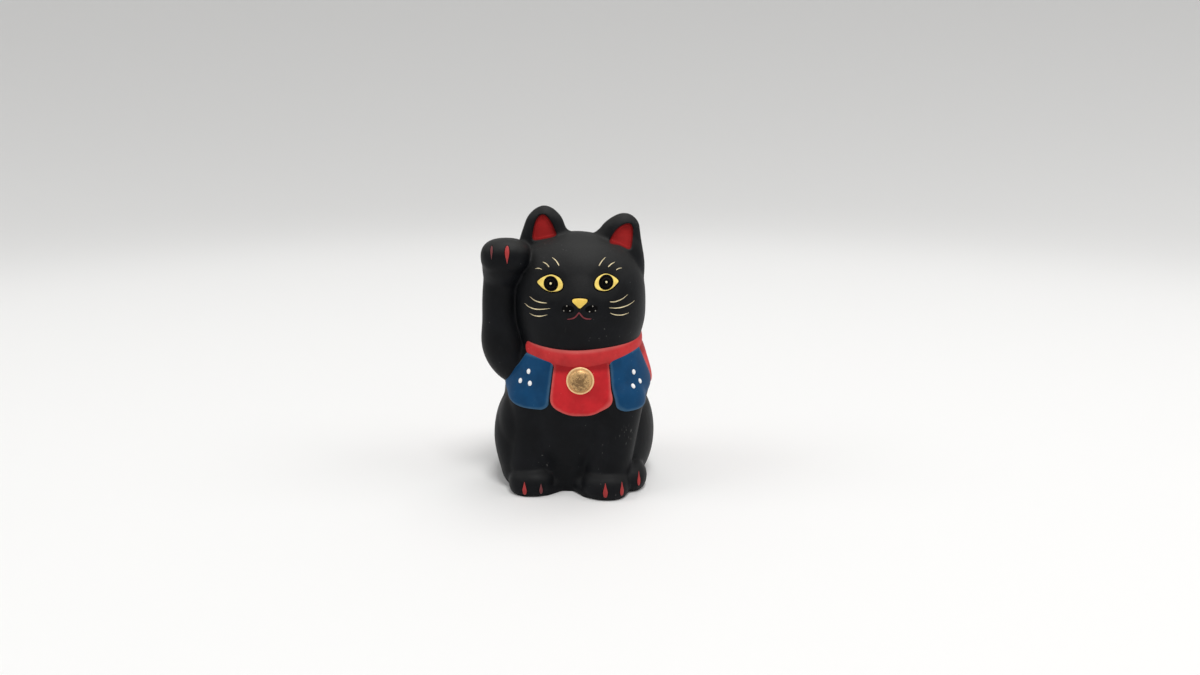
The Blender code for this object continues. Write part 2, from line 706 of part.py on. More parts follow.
def panel_outline(start, end, drop, start_cut, end_cut):
    """A bib panel between two seams, from behind the band down to a hem with cut corners."""
    hem = BODY_HEIGHT - BIB_LENGTH - drop
    sides = []
    for seam, way, corner_cut in ((start, 1, start_cut), (end, -1, end_cut)):
        across, up, rounding = corner_cut
        top_u, hem_u = (math.radians(angle) * TRUNK_FRONT + way * PANEL_SPACE / 2 for angle in seam)
        top = min(band_height(top_u / TRUNK_FRONT) - JOINT_GAP, BODY_HEIGHT - 2 * JOINT_GAP)
        side_u = hem_u + (top_u - hem_u) * up / (top - hem)
        upper, lower = (side_u, hem + up, rounding), (hem_u + way * across, hem, rounding)
        sides.append([(top_u, top, JOINT_GAP), upper, lower])
    return cornered(sides[0] + sides[1][::-1])


def add_bib(skins, rooms, figure):
    """The bib's panels, each with what lies on it."""
    ends = [*SEAMS[1:], tuple(angle + 360.0 for angle in SEAMS[0])]
    for (name, drop, start_cut, end_cut, colour), start, end in zip(PANELS, SEAMS, ends):
        outline = panel_outline(start, end, drop, start_cut, end_cut)
        panel = laid_on(
            f"bib_panel_{name}", skins["body"], from_around, outline, BIB_THICKNESS, JOINT_GAP, figure,
            colour, fullness=5.0, segments=32, rings=8,
        )
        for room in rooms:
            cut(panel, room)
        skin = skin_of(panel)
        for number, (angle, up) in enumerate(BIB_DOTS.get(name, []), start=1):
            u, v = math.radians(angle) * TRUNK_FRONT, BODY_HEIGHT - BIB_LENGTH + up
            laid_on(
                f"bib_dot_{name}_{number}", skin, from_around,
                curved(CIRCLE, u, v, DOT_HALF_WIDTH, DOT_HALF_HEIGHT), ENAMEL_THICKNESS, ENAMEL_GAP, figure,
                "white", segments=10, rings=4,
            )
        if name == "front":
            laid_on(
                "bell", skin, from_front,
                curved(CIRCLE, BELL_X, BODY_HEIGHT - BELL_DROP, BELL_RADIUS, BELL_RADIUS), BELL_HEIGHT,
                ENAMEL_GAP, figure, "gold", segments=24, rings=8,
            )


def add_face(skin, figure):
    """The eyes, nose and ear linings."""
    height = BODY_HEIGHT + EYE_RISE
    for side, word in ((-1, "right"), (1, "left")):
        x = side * EYE_SPACING / 2
        almond = [(-side * u, v) for u, v in ALMOND]
        iris = laid_on(
            f"eye_{word}", skin, from_front, curved(almond, x, height, EYE_HALF_WIDTH, EYE_HALF_HEIGHT),
            ENAMEL_THICKNESS, ENAMEL_GAP, figure, "yellow", fullness=4.0, segments=20,
        )
        pupil = laid_on(
            f"pupil_{word}", skin_of(iris), from_front, curved(CIRCLE, x, height, PUPIL_RADIUS, PUPIL_RADIUS),
            ENAMEL_THICKNESS, ENAMEL_GAP, figure, "pupil_black",
        )
        laid_on(
            f"glint_{word}", skin_of(pupil), from_front,
            curved(CIRCLE, x, height, GLINT_RADIUS, GLINT_RADIUS), ENAMEL_THICKNESS / 2, ENAMEL_GAP, figure,
            "white", segments=8, rings=4,
        )
    laid_on(
        "nose", skin, from_front,
        curved(NOSE, NOSE_X, BODY_HEIGHT + NOSE_RISE, NOSE_HALF_WIDTH, NOSE_HALF_HEIGHT), NOSE_THICKNESS,
        ENAMEL_GAP, figure, "yellow",
    )
    for word, x, half_width, rise, lining in (
        ("right", RIGHT_EAR_X, RIGHT_EAR_HALF_WIDTH, RIGHT_EAR_RISE, RIGHT_LINING),
        ("left", LEFT_EAR_X, LEFT_EAR_HALF_WIDTH, LEFT_EAR_RISE, LEFT_LINING),
    ):
        corners = []
        for across, up, rounding in lining:
            corners.append((*ear_place(x, half_width, rise, across, up), half_width * rounding))
        laid_on(
            f"ear_lining_{word}", skin, from_front, cornered(corners), ENAMEL_THICKNESS, ENAMEL_GAP, figure,
            "red", fullness=5.0, segments=20,
        )


def add_claws(skins, figure):
    """Two claws on each forepaw that shows them, and one on the left hind paw."""
    claws = [
        # name, skin, paw's centre, across and up from it as shares of the paw, half length
        ("raised_paw_1", "arm", raised_paw_centre(), RAISED_PAW_HALF_WIDTH, -0.45, 2.0 * MM, 1.6 * MM),
        ("raised_paw_2", "arm", raised_paw_centre(), RAISED_PAW_HALF_WIDTH, 0.17, 1.6 * MM, 2.5 * MM),
        ("right_forepaw_1", "body", forepaw_centre(-1), FOREPAW_HALF_WIDTH, -0.13, 0.3 * MM, 1.8 * MM),
        ("right_forepaw_2", "body", forepaw_centre(-1), FOREPAW_HALF_WIDTH, 0.52, 0.1 * MM, 1.5 * MM),
        ("left_forepaw_1", "body", forepaw_centre(1), FOREPAW_HALF_WIDTH, 0.13, 0.5 * MM, 2.0 * MM),
        ("left_forepaw_2", "body", forepaw_centre(1), FOREPAW_HALF_WIDTH, 0.76, 0.5 * MM, 2.0 * MM),
        ("left_hindpaw", "body", hindpaw_centre(1), HINDPAW_HALF_WIDTH, 0.2, 0.5 * MM, 2.0 * MM),
    ]
    for name, skin, (x, _, z), half_width, across, up, half_length in claws:
        outline = curved(CLAW, x + half_width * across, z + up, CLAW_HALF_WIDTH, half_length)
        laid_on(
            f"claw_{name}", skins[skin], from_front, outline, ENAMEL_THICKNESS, ENAMEL_GAP, figure,
            "red", segments=12, rings=4,
        )


def main():
    for old in list(bpy.data.objects):
        bpy.data.objects.remove(old)
    figure = bpy.data.collections.new("lucky_cat")
    cutters = bpy.data.collections.new("cutters")
    for folder in (figure, cutters):
        bpy.context.scene.collection.children.link(folder)
    body = modelled("body_shell", body_clay(), figure, BODY_FACES)
    head = modelled("head_shell", head_clay(), figure, HEAD_FACES, pressing=press_face)
    arm = modelled("raised_arm", arm_clay(), figure, ARM_FACES)
    tail = modelled("tail", tail_clay(), figure, TAIL_FACES)
    band = painted(band_ring("collar_band", figure), "red")

    far = 4 * (BODY_HEIGHT + HEAD_HEIGHT)
    floor = slab("below_floor", -far, 0.0, cutters)
    above_neck = slab("above_neck", BODY_HEIGHT - JOINT_GAP / 2, far, cutters)
    below_neck = slab("below_neck", -far, BODY_HEIGHT + JOINT_GAP / 2, cutters)
    body_room, head_room, arm_room = (room_for(piece, cutters) for piece in (body, head, arm))
    band_room = band_ring("collar_band_room", cutters, room=JOINT_GAP)
    for piece, cutter in (
        (body, floor),
        (body, above_neck),
        (head, below_neck),
        (tail, floor),
        (tail, body_room),
        (arm, body_room),
        (arm, head_room),
        (band, body_room),
        (band, head_room),
        (band, arm_room),
    ):
        cut(piece, cutter)
    skins = {"body": skin_of(body), "head": skin_of(head), "arm": skin_of(arm)}
    hollow(body, body_core(), cutters)
    hollow(head, head_core(), cutters)
    vent = upright(VENT_RADIUS, -FLOOR_THICKNESS, 3 * FLOOR_THICKNESS, x=-SEAT_OFFSET, y=TRUNK_BACK * 0.1)
    cut(body, add_object("vent", vent, cutters))
    for piece in (body, head, arm, tail):
        painted(piece, "matt_black")

    add_bib(skins, (band_room, arm_room), figure)
    add_face(skins["head"], figure)
    add_claws(skins, figure)

    pieces = list(figure.objects)
    corners = [point.co for piece in pieces for point in piece.data.vertices]
    middle = [(min(c[k] for c in corners) + max(c[k] for c in corners)) / 2 for k in (0, 1)]
    stand = bpy.data.objects.new("stand", None)
    stand.location = (-middle[0], -middle[1], 0.0)
    figure.objects.link(stand)
    for piece in pieces:
        place = sum((Vector(corner) for corner in piece.bound_box), Vector()) / 8
        piece.data.transform(Matrix.Translation(-place))
        piece.location = place
        piece.parent = stand
    bpy.context.view_layer.update()


main()
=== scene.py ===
"""Models and paints a seated lucky cat of fired clay over its packed solids.

The clay is kneaded in one piece from lofts, balls and limbs, then pressed, carved and cut flat. The
collar, the bib, the bell and every painted mark are laid on its skin, where a ray meets it. Places
are about the neck's axis: x to the cat's left, y to its back, z up from the floor.
"""

import math

import bmesh
import bpy
import numpy as np
from bpy.props import FloatProperty, FloatVectorProperty, IntProperty, PointerProperty
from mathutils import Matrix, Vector
from mathutils.bvhtree import BVHTree


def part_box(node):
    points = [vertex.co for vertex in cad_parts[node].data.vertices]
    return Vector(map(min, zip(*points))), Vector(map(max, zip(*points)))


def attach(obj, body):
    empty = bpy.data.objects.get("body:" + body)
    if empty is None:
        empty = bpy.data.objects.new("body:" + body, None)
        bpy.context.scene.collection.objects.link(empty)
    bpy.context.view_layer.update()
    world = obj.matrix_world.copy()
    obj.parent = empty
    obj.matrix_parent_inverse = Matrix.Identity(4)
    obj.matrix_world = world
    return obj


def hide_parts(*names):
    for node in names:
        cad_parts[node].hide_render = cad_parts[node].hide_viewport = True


bl_info = {
    "name": "Lucky cat figurine",
    "version": (1, 0, 0),
    "blender": (4, 5, 0),
    "location": "3D View > Sidebar > Lucky Cat",
    "description": "Models and paints a seated lucky cat of fired clay over its packed solids",
    "category": "Add Mesh",
}

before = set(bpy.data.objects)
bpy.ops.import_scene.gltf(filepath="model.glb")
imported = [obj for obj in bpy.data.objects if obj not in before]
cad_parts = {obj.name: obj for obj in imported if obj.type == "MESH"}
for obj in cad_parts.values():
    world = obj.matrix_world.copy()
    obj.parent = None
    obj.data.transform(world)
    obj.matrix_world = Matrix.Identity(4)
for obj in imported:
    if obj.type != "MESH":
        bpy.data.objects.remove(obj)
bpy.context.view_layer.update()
MM = 0.001


def mm(*sizes):
    """Sizes in millimetres, in metres."""
    return tuple(size * MM for size in sizes)


# Neck, from the collar band's solid: it is as deep in front of the axis as behind it
NECK_HEIGHT = 39.6 * MM
NECK_HALF_WIDTH = 15.6 * MM
NECK_FRONT = 15.9 * MM
NECK_BACK = 15.4 * MM
BAND_REACH = NECK_HALF_WIDTH + 2.2 * MM
BAND_LOW, BAND_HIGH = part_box("collar_band")
NECK = Vector((BAND_HIGH.x - BAND_REACH, (BAND_LOW.y + BAND_HIGH.y) / 2, 0.0))

# Trunk and seat
FOOTING = 2.0 * MM
FLOOR_ROUNDING = 0.5 * MM
TRUNK_HALF_WIDTH = 20.8 * MM
TRUNK_FRONT = 17.4 * MM
TRUNK_BACK = 20.0 * MM
BELLY = mm(15.0, 12.2, 16.5)
SEAT_OFFSET = 2.3 * MM
SEAT_TURN = math.radians(7.0)
HAUNCH = mm(9.4, 13.2, 15.5)
HAUNCH_PLACE = mm(13.6, -3.0, 10.8)
HAUNCH_LIFTS = {-1: 0.0, 1: 1.4 * MM}
THIGH = mm(7.6, 9.6, 12.5)
THIGH_PLACE = mm(-12.4, 6.0, 15.5)
SHOULDER_RADIUS = 7.6 * MM
SHOULDER_PLACES = {-1: mm(-8.4, 8.6, 24.6), 1: mm(13.2, 8.6, 24.6)}
FORELEG_RADIUS = 6.5 * MM
FORELEG_PLACES = {-1: mm(-10.0, 11.1, 7.2), 1: mm(11.2, 11.1, 7.2)}
# The right flank is full, with no hollow between haunch and leg
FLANK = [
    (mm(-11.0, 3.5, 23.0), 7.6 * MM),
    (mm(-12.6, 6.5, 14.0), 8.4 * MM),
    (mm(-11.8, 9.4, 5.0), 6.8 * MM),
]
FOREPAW = mm(6.6, 4.6)  # half the length and height
FOREPAW_HALF_WIDTHS = {-1: 6.4 * MM, 1: 6.5 * MM}
FOREPAW_PLACES = {-1: mm(-9.0, 13.8, 2.6), 1: mm(11.3, 13.8, 2.6)}
HINDPAW = mm(3.9, 6.0, 4.4)
HINDPAW_PLACE = mm(15.5, 8.2, 3.0)
HINDPAW_SHIFT = 2.6 * MM
PAW_SQUARENESS = 2.4
# The clay runs over softly from the inner sides of the forepaws to the foot of the belly
FILLETS = {
    -1: [(mm(-5.2, 16.3, 0.6), 2.4 * MM), (mm(-1.8, 12.0, 2.0), 3.2 * MM)],
    1: [(mm(7.2, 16.3, 0.6), 2.4 * MM), (mm(3.8, 12.0, 2.0), 3.2 * MM)],
}
VENT_RADIUS = 4.0 * MM
VENT_DEPTH = 9.0 * MM

# Head and ears
HEAD_HEIGHT = 29.2 * MM
HEAD_HALF_WIDTH = 18.1 * MM
HEAD_FRONT = 17.4 * MM
HEAD_BACK = 16.2 * MM
CROWN_ROLL = 0.04
EAR_HALF_DEPTH = 4.4 * MM
EAR_ROOT = 8.8 * MM
EARS = {
    # middle, lean to the tip, half width, rise over the crown
    "right": mm(-9.4, 0.0, 8.0, 7.5),
    "left": mm(9.0, 3.1, 8.1, 5.5),
}
# The ears flare out into the crown
EAR_FLARES = [
    [(mm(-5.3, 0.0, 69.6), 1.3 * MM), (mm(-2.9, 0.0, 68.2), 1.3 * MM)],
    [(mm(7.4, 0.0, 70.1), 1.2 * MM), (mm(4.8, 0.0, 68.1), 1.2 * MM)],
]
TEMPLE = mm(6.5, 5.5, 12.0)
TEMPLE_PLACE = mm(11.3, 0.0, 59.5)
EAR_HOLLOW = 1.3 * MM
EAR_WALL = 0.9 * MM

# Raised arm
ARM_RADIUS = 5.3 * MM
ARM_OUT = 21.2 * MM
ARM_FORWARD = 3.4 * MM
ELBOW_RADIUS = 6.4 * MM
ELBOW_HEIGHT = 30.6 * MM
WRIST_HEIGHT = 58.1 * MM
PALM = [
    mm(-20.7, -4.1, 57.4, 5.1),
    mm(-20.4, -4.9, 59.4, 5.5),
    mm(-19.8, -6.0, 61.5, 6.0),
]
RAISED_PAW = mm(6.6, 6.5, 4.8)
RAISED_PAW_PLACE = mm(-19.4, -6.5, 63.45)

# Tail
TAIL_RADIUS = 3.6 * MM
TAIL_RISE = 16.0 * MM
TAIL_ANGLES = (-12.0, 47.0)

# Collar and bib; angles are in degrees round from the front, to the cat's left
BAND_TILT = math.radians(5.5)
BAND_DROP = 0.3 * MM
BAND_ROLL = 0.65 * MM  # the band's rise at the cat's left
BAND_STANDOFF = 0.7 * MM
BAND_LIFT = 1.7 * MM  # of the band's end by the raised arm
BAND_TUCK = 0.5 * MM  # towards the axis, at the sides
BAND_START, BAND_END = -58.5, 264.0
BIB_LENGTH = 15.7 * MM
FRONT_PANEL_DROP = 1.2 * MM
SEAMS = [(-21.5, -26.3), (27.0, 29.0), (69.0, 89.0), (151.0, 149.0), (209.0, 211.0), (264.0, 262.0)]
PANELS = [
    # name, hem's drop, its first and last corners' cuts in mm (across, up, rounding), colour
    ("front", FRONT_PANEL_DROP, (5.0, 2.6, 2.4), (4.4, 3.0, 2.4), "red"),
    ("front_left", 0.0, (1.4, 1.0, 0.8), (10.5, 4.4, 3.0), "blue"),
    ("side_left", 0.0, (6.0, 4.4, 3.0), (1.5, 1.5, 1.0), "red"),
    ("rear", 0.0, (2.0, 2.0, 1.4), (2.0, 2.0, 1.4), "blue"),
    ("side_right", 0.0, (1.5, 1.5, 1.0), (1.5, 1.5, 1.0), "red"),
    ("front_right", 0.0, (14.0, 6.2, 4.5), (1.4, 1.0, 0.8), "blue"),
]
PANEL_SPACE = 0.22 * MM
# Painted shade on the red panels under the band reaches this far
UNDER_BAND_SHADE_REACH = 1.4 * MM  # the reach of the darkened paint under the band
# The panel by the raised arm narrows to its outer corner: places across from the seam and up from
# the hem, and roundings, in mm
ARMPIT = [(13.0, 14.2, 0.3), (10.3, 9.8, 3.0), (4.0, 5.3, 1.2)]
DOTS = {
    # the way round in degrees, and the height above the hem
    "front_left": [(50.2, 9.3 * MM), (55.5, 6.5 * MM), (44.6, 6.1 * MM)],
    "front_right": [(-44.3, 9.9 * MM), (-51.4, 7.0 * MM), (-41.5, 6.9 * MM)],
    "rear": [(180.0, 10.3 * MM), (173.0, 6.9 * MM), (187.0, 6.9 * MM)],
}
DOT_RADII = mm(0.63, 0.72)
DOT_HEIGHT = 0.4 * MM
BELL_PLACE = mm(0.4, 32.5)
FLANGE_SHARE = 0.35  # of the bell's height

# Face, as places across and up
EYE_PLACES = {"right": mm(-7.3, 57.65), "left": mm(7.25, 57.85)}
EYE_WIDTHS = {"right": 1.0, "left": 0.92}
PUPIL_SHIFTS = {"right": mm(0.2, -0.08), "left": mm(-0.1, 0.04)}
EYE_RIM = 0.32 * MM
PUPIL_DISCS = [
    # name, radius as a share of the pupil's, thickness
    ("disc", 1.0, 0.20 * MM),
    ("ring", 0.66, 0.26 * MM),
    ("heart", 0.58, 0.30 * MM),
]
GLINT_HEIGHT = 0.42 * MM
NOSE_PLACE = mm(0.4, 53.15)
NOSE_RIM = 0.3 * MM
MUZZLE_PLACE = mm(0.4, 52.0)
MUZZLE = mm(7.5, 8.5, 1.4)
# Darker black patches either side of the nose: their offset and height, and their radii
DARK_PATCH = mm(3.0, 51.6)
DARK_PATCH_RADII = mm(2.1, 1.25)
SPOT_GROUND = 0.5 * MM
SPOT_RADIUS = 0.17 * MM
SPOT_HEIGHT = 0.16 * MM
CLAW_RIM = 0.2 * MM
INK = (0.0015, 0.0015, 0.0017)
SOCKET = mm(5.0, 5.0, -0.7)

# A ridge is rubbed in full where it stands this far out of the clay smoothed this many times
RIDGE_HEIGHT = 0.5 * MM
RIDGE_SOFTENING = 60

# The foreleg is scuffed here, and the scuffs end between these distances
SCUFF = mm(12.8, -16.7, 16.8)
SCUFF_REACH = mm(1.5, 4.5)

# Stage: the floor sweeps up into a bowl round the figure
FLOOR_HEART = 0.01  # the radius of the flat disc in its middle
SWEEP_START = 0.55
SWEEP_REACH = 2.2
SWEEP_HEIGHT = 1.0
# The floor's paint darkens away from the figure, a painted shade where the lamps' light falls off, and turns
# back to the near colour up the sweep
FLOOR_SHADE_FADE = (0.36, 0.74)  # from the near to the far colour
FLOOR_RETURN = 0.9  # from here on the near colour comes back
LAMPS = [
    # name, place and target from the view's middle, size, the setting with its power
    ("top_lamp", (0.16, -0.42, 1.2), (0.0, 0.0, 0.0), 0.40, "lamp"),
    ("back_lamp", (0.10, 0.42, 1.3), (0.0, 0.3, 0.0), 0.60, "back_lamp"),
    ("right_lamp", (-0.75, -0.12, 0.72), (0.0, 0.0, 0.0), 0.50, "side_lamps"),
    ("left_lamp", (0.75, -0.12, 0.72), (0.0, 0.0, 0.0), 0.50, "side_lamps"),
]
SENSOR_WIDTH = 36.0
NEAR_CLIP = 0.01

TINY = 1e-6  # rounding, when a place or a turn is compared with 0

# How pats and brush strokes lie on the skin: a root is below it, and a sink lowers the whole mark
PAT_SINK = 0.08 * MM
PAT_ROOT = 0.1 * MM
BRUSH_HEIGHT = 0.06 * MM
BRUSH_ROOT = 0.05 * MM
BRUSH_SINK = 0.01 * MM

# Outlines of unit size
CIRCLE = [(math.cos(math.tau * k / 16), math.sin(math.tau * k / 16)) for k in range(16)]
ALMOND = [
    (-1.0, 0.08), (-0.57, 0.64), (0.09, 1.0), (0.7, 0.7), (0.98, 0.1),
    (0.95, -0.48), (0.63, -0.85), (0.06, -1.0), (-0.44, -0.78), (-0.82, -0.34),
]
NOSE = [
    (-0.98, 0.3), (-0.88, 0.8), (-0.3, 0.98), (0.4, 0.95), (0.95, 0.75),
    (0.98, 0.25), (0.5, -0.45), (0.02, -1.0), (-0.45, -0.5),
]
CLAW = [
    (0.0, 1.0), (0.42, 0.55), (0.9, 0.0), (1.0, -0.4), (0.66, -0.85),
    (0.0, -1.0), (-0.66, -0.85), (-1.0, -0.4), (-0.9, 0.0), (-0.42, 0.55),
]
# The edges of the ears' hollows, across and up in mm
LININGS = {
    "right": [
        (-12.3, 67.4), (-12.2, 70.4), (-11.3, 72.9), (-10.0, 74.0), (-8.7, 73.6), (-7.4, 71.9),
        (-6.6, 70.1), (-6.2, 68.5), (-9.0, 67.7),
    ],
    "left": [
        (8.2, 66.8), (9.0, 68.8), (10.4, 70.5), (12.2, 71.5), (13.7, 71.5), (14.4, 70.2),
        (14.3, 67.6), (13.6, 65.0), (10.8, 66.0),
    ],
}
CLAWS = [
    # name, place, half width and half length, which way the point is
    ("raised_paw_1", mm(-22.45, 65.2), mm(0.34, 1.8), -1),
    ("raised_paw_2", mm(-18.4, 64.7), mm(0.60, 2.4), -1),
    ("right_forepaw_1", mm(-14.65, 2.6), mm(0.62, 2.0), 1),
    ("right_forepaw_2", mm(-10.25, 2.5), mm(0.48, 1.6), 1),
    ("left_forepaw_1", mm(7.0, 3.1), mm(0.66, 2.1), 1),
    ("left_forepaw_2", mm(11.4, 3.1), mm(0.52, 2.0), 1),
    ("left_hindpaw", mm(16.1, 3.9), mm(0.45, 2.0), 1),
]
FADED_CLAWS = ("raised_paw_1", "right_forepaw_2")
# Brush strokes: points across and up in mm, and widths along the stroke as shares of the full width
WHISKERS = {
    "right_1": ([(-12.8, 53.8), (-11.4, 53.0), (-9.8, 52.7), (-8.1, 52.7)], [0.15, 0.8, 1.0, 0.3]),
    "right_2": ([(-14.3, 51.8), (-12.8, 51.0), (-10.6, 50.8), (-7.2, 51.4)], [0.15, 0.9, 1.0, 0.2]),
    "right_3": ([(-12.9, 49.4), (-11.5, 49.0), (-9.8, 49.1), (-8.0, 49.7)], [0.2, 0.9, 0.9, 0.2]),
    "left_1": ([(12.8, 54.3), (11.4, 53.4), (9.5, 52.9), (8.1, 53.0)], [0.2, 0.8, 1.0, 0.5]),
    "left_2": ([(14.7, 52.3), (12.8, 51.5), (10.3, 51.2), (7.9, 51.5)], [0.15, 0.8, 1.0, 0.3]),
    "left_3": ([(13.2, 49.5), (11.4, 49.2), (9.5, 49.5), (8.2, 50.1)], [0.15, 0.8, 1.0, 0.3]),
}
BROWS = {
    "right_1": ([(-11.3, 60.9), (-10.3, 61.1), (-9.5, 60.9)], [0.3, 0.65, 0.3]),
    "right_2": ([(-9.3, 62.7), (-8.3, 62.3), (-7.6, 61.6)], [0.35, 0.9, 1.0]),
    "right_3": ([(-6.8, 63.9), (-5.8, 63.2), (-5.0, 62.1)], [0.35, 0.9, 1.0]),
    "left_1": ([(7.0, 63.9), (6.1, 63.1), (5.3, 62.0)], [0.35, 0.9, 1.0]),
    "left_2": ([(9.4, 62.6), (8.5, 62.2), (7.7, 61.6)], [0.35, 0.9, 1.0]),
    "left_3": ([(11.3, 61.0), (10.5, 61.0), (9.8, 60.7)], [0.3, 0.7, 0.9]),
}
MOUTH = [
    (-2.9, 48.9), (-1.8, 49.1), (-0.9, 49.5), (-0.25, 50.2), (0.2, 50.8), (0.7, 50.2),
    (1.3, 49.5), (2.2, 49.1), (3.4, 49.0),
]
MOUTH_WIDTHS = [0.4, 0.8, 0.9, 0.9, 0.8, 0.9, 0.9, 0.9, 0.5]
MOUTH_WIDTH = 0.40 * MM
WHISKER_SPOTS = [(-2.9, 52.4), (-3.7, 51.1), (-2.1, 51.2), (3.7, 52.3), (2.9, 51.0), (4.4, 51.1)]


def length_setting(name, description, default, **limits):
    """A setting in metres."""
    return FloatProperty(
        name=name, description=description, default=default, unit="LENGTH", precision=5, **limits
    )


def colour_setting(name, description, default):
    """A setting for a paint's colour."""
    return FloatVectorProperty(
        name=name, description=description, default=default, subtype="COLOR", size=3
    )


def number_setting(name, description, default, **kind):
    """A setting that isn't a length."""
    return FloatProperty(name=name, description=description, default=default, **kind)


class ClaySettings(bpy.types.PropertyGroup):
    """The clay and its black paint."""

    grain: length_setting("Grain", "Spacing of the clay's surface points", 0.3 * MM, min=0.1 * MM)
    softening: IntProperty(
        name="Softening", description="How many times the kneaded clay is smoothed", default=34, min=0
    )
    colour: colour_setting("Black", "The clay's paint", (0.0038, 0.0043, 0.0056))
    # This pale black also paints the sheen on faces that point up
    worn_and_sheen: colour_setting("Worn Black", "The paint that handling has rubbed pale", (0.030, 0.030, 0.029))
    dust: colour_setting("Dust", "Specks and scratches in the paint", (0.10, 0.10, 0.095))


class BibSettings(bpy.types.PropertyGroup):
    """The collar, the bib and the bell."""

    relief: length_setting("Relief", "How far a panel stands off the clay", 1.0 * MM)
    band_height: length_setting("Band Height", "The collar band from edge to edge", 5.1 * MM)
    band_thickness: length_setting("Band Thickness", "The collar band through its middle", 3.0 * MM)
    bell_radius: length_setting("Bell Radius", "The bell from its middle to its edge", 3.65 * MM)
    bell_rim: length_setting("Bell Rim", "The width of the bell's flat rim", 0.4 * MM)
    bell_height: length_setting("Bell Height", "How far the bell is domed", 1.9 * MM)
    red: colour_setting("Red", "The red panels", (0.565, 0.022, 0.028))
    collar: colour_setting("Collar Red", "The collar band", (0.52, 0.034, 0.036))
    blue: colour_setting("Blue", "The blue panels", (0.006, 0.053, 0.137))
    gold: colour_setting("Gold", "The bell's paint", (0.70, 0.44, 0.19))
    white: colour_setting("White", "The raised dots", (0.96, 0.96, 0.95))


class FaceSettings(bpy.types.PropertyGroup):
    """The marks on the face, the ears and the claws."""

    eye_half_width: length_setting("Eye Half Width", "From the eye's middle to its corner", 3.4 * MM)
    eye_half_height: length_setting("Eye Half Height", "From the eye's middle to its lid", 2.15 * MM)
    pupil_radius: length_setting("Pupil Radius", "The black disc's radius", 1.95 * MM)
    glint_radius: length_setting("Glint Radius", "The raised point of light in the pupil", 0.36 * MM)
    nose_half_width: length_setting("Nose Half Width", "From the nose's middle to its side", 1.95 * MM)
    nose_half_height: length_setting("Nose Half Height", "From the nose's middle to its point", 1.25 * MM)
    whisker_width: length_setting("Whisker Width", "A whisker's brush stroke at its widest", 0.27 * MM)
    yellow: colour_setting("Yellow", "The eyes", (0.98, 0.69, 0.165))
    nose: colour_setting("Nose Yellow", "The nose", (0.94, 0.63, 0.12))
    cream: colour_setting("Cream", "The whiskers and brows", (0.80, 0.68, 0.42))
    mouth: colour_setting("Mouth Red", "The mouth's brush stroke", (0.20, 0.030, 0.038))
    ear_red: colour_setting("Ear Red", "The ears' linings", (0.345, 0.016, 0.016))
    claw_red: colour_setting("Claw Red", "The claws", (0.38, 0.045, 0.045))


class StageSettings(bpy.types.PropertyGroup):
    """The camera, the floor and the light."""

    distance: length_setting("Camera Distance", "From the camera to the middle of the view", 0.251)
    pitch: number_setting(
        "Camera Pitch", "How far the camera looks down", math.radians(14.0), subtype="ANGLE"
    )
    lens: number_setting("Lens", "Focal length on a 36 mm frame", 27.06)
    aim_side: length_setting("Aim Side", "The view's middle, to the cat's left of its neck", 5.57 * MM)
    aim_height: length_setting("Aim Height", "The height of the view's middle", 39.64 * MM)
    near_floor: colour_setting("Near Floor", "The floor round the figure", (0.89, 0.886, 0.876))
    # The far floor's colour is a painted shade, and the camera sees the world in it too
    shaded_far_floor: colour_setting("Far Floor", "The floor far behind the figure", (0.80, 0.797, 0.787))
    sky: number_setting("Sky", "The strength of the even light from above", 0.39)
    lamp: number_setting("Lamp", "The power of the soft lamp in front in watts", 6.5)
    back_lamp: number_setting("Back Lamp", "The power of the soft lamp behind in watts", 3.5)
    side_lamps: number_setting("Side Lamps", "The power of each lamp at the side in watts", 1.8)


# Meshes


def unit_sphere(segments, rings):
    shape = bmesh.new()
    bmesh.ops.create_uvsphere(shape, u_segments=segments, v_segments=rings, radius=1.0)
    return shape


def mesh_of(shape, name):
    """A mesh from a bmesh, its faces outward."""
    if shape.calc_volume(signed=True) < 0:
        bmesh.ops.reverse_faces(shape, faces=shape.faces)
    mesh = bpy.data.meshes.new(name)
    shape.to_mesh(mesh)
    shape.free()
    return mesh


def along(stations, share):
    """The row at share (0 to 1) of a smooth curve through evenly spaced rows of numbers."""
    place = share * (len(stations) - 1)
    low = min(int(place), len(stations) - 2)
    t = place - low
    rows = [stations[max(0, min(len(stations) - 1, low + k))] for k in (-1, 0, 1, 2)]
    return [
        0.5 * (2 * b + (c - a) * t + (2 * a - 5 * b + 4 * c - d) * t**2 + (3 * b - a - 3 * c + d) * t**3)
        for a, b, c, d in zip(*rows)
    ]


def ball(centre, radii, turn=0.0, squareness=2.0):
    """An ellipsoid, or a boxier form where the squareness is more than 2, turned about Z."""
    shape = unit_sphere(40, 28)
    for point in shape.verts:
        reach = sum(abs(c) ** squareness for c in point.co) ** (1 / squareness)
        x, y, z = (c / reach * r for c, r in zip(point.co, radii))
        point.co = (
            centre[0] + x * math.cos(turn) - y * math.sin(turn),
            centre[1] + x * math.sin(turn) + y * math.cos(turn),
            centre[2] + z,
        )
    return mesh_of(shape, "ball")


def limb(stations, count=14):
    """Balls strung along a smooth curve; a station is (x, y, z, radius)."""
    found = []
    for k in range(count):
        x, y, z, radius = along(stations, k / (count - 1))
        found.append(ball((x, y, z), (radius,) * 3))
    return found


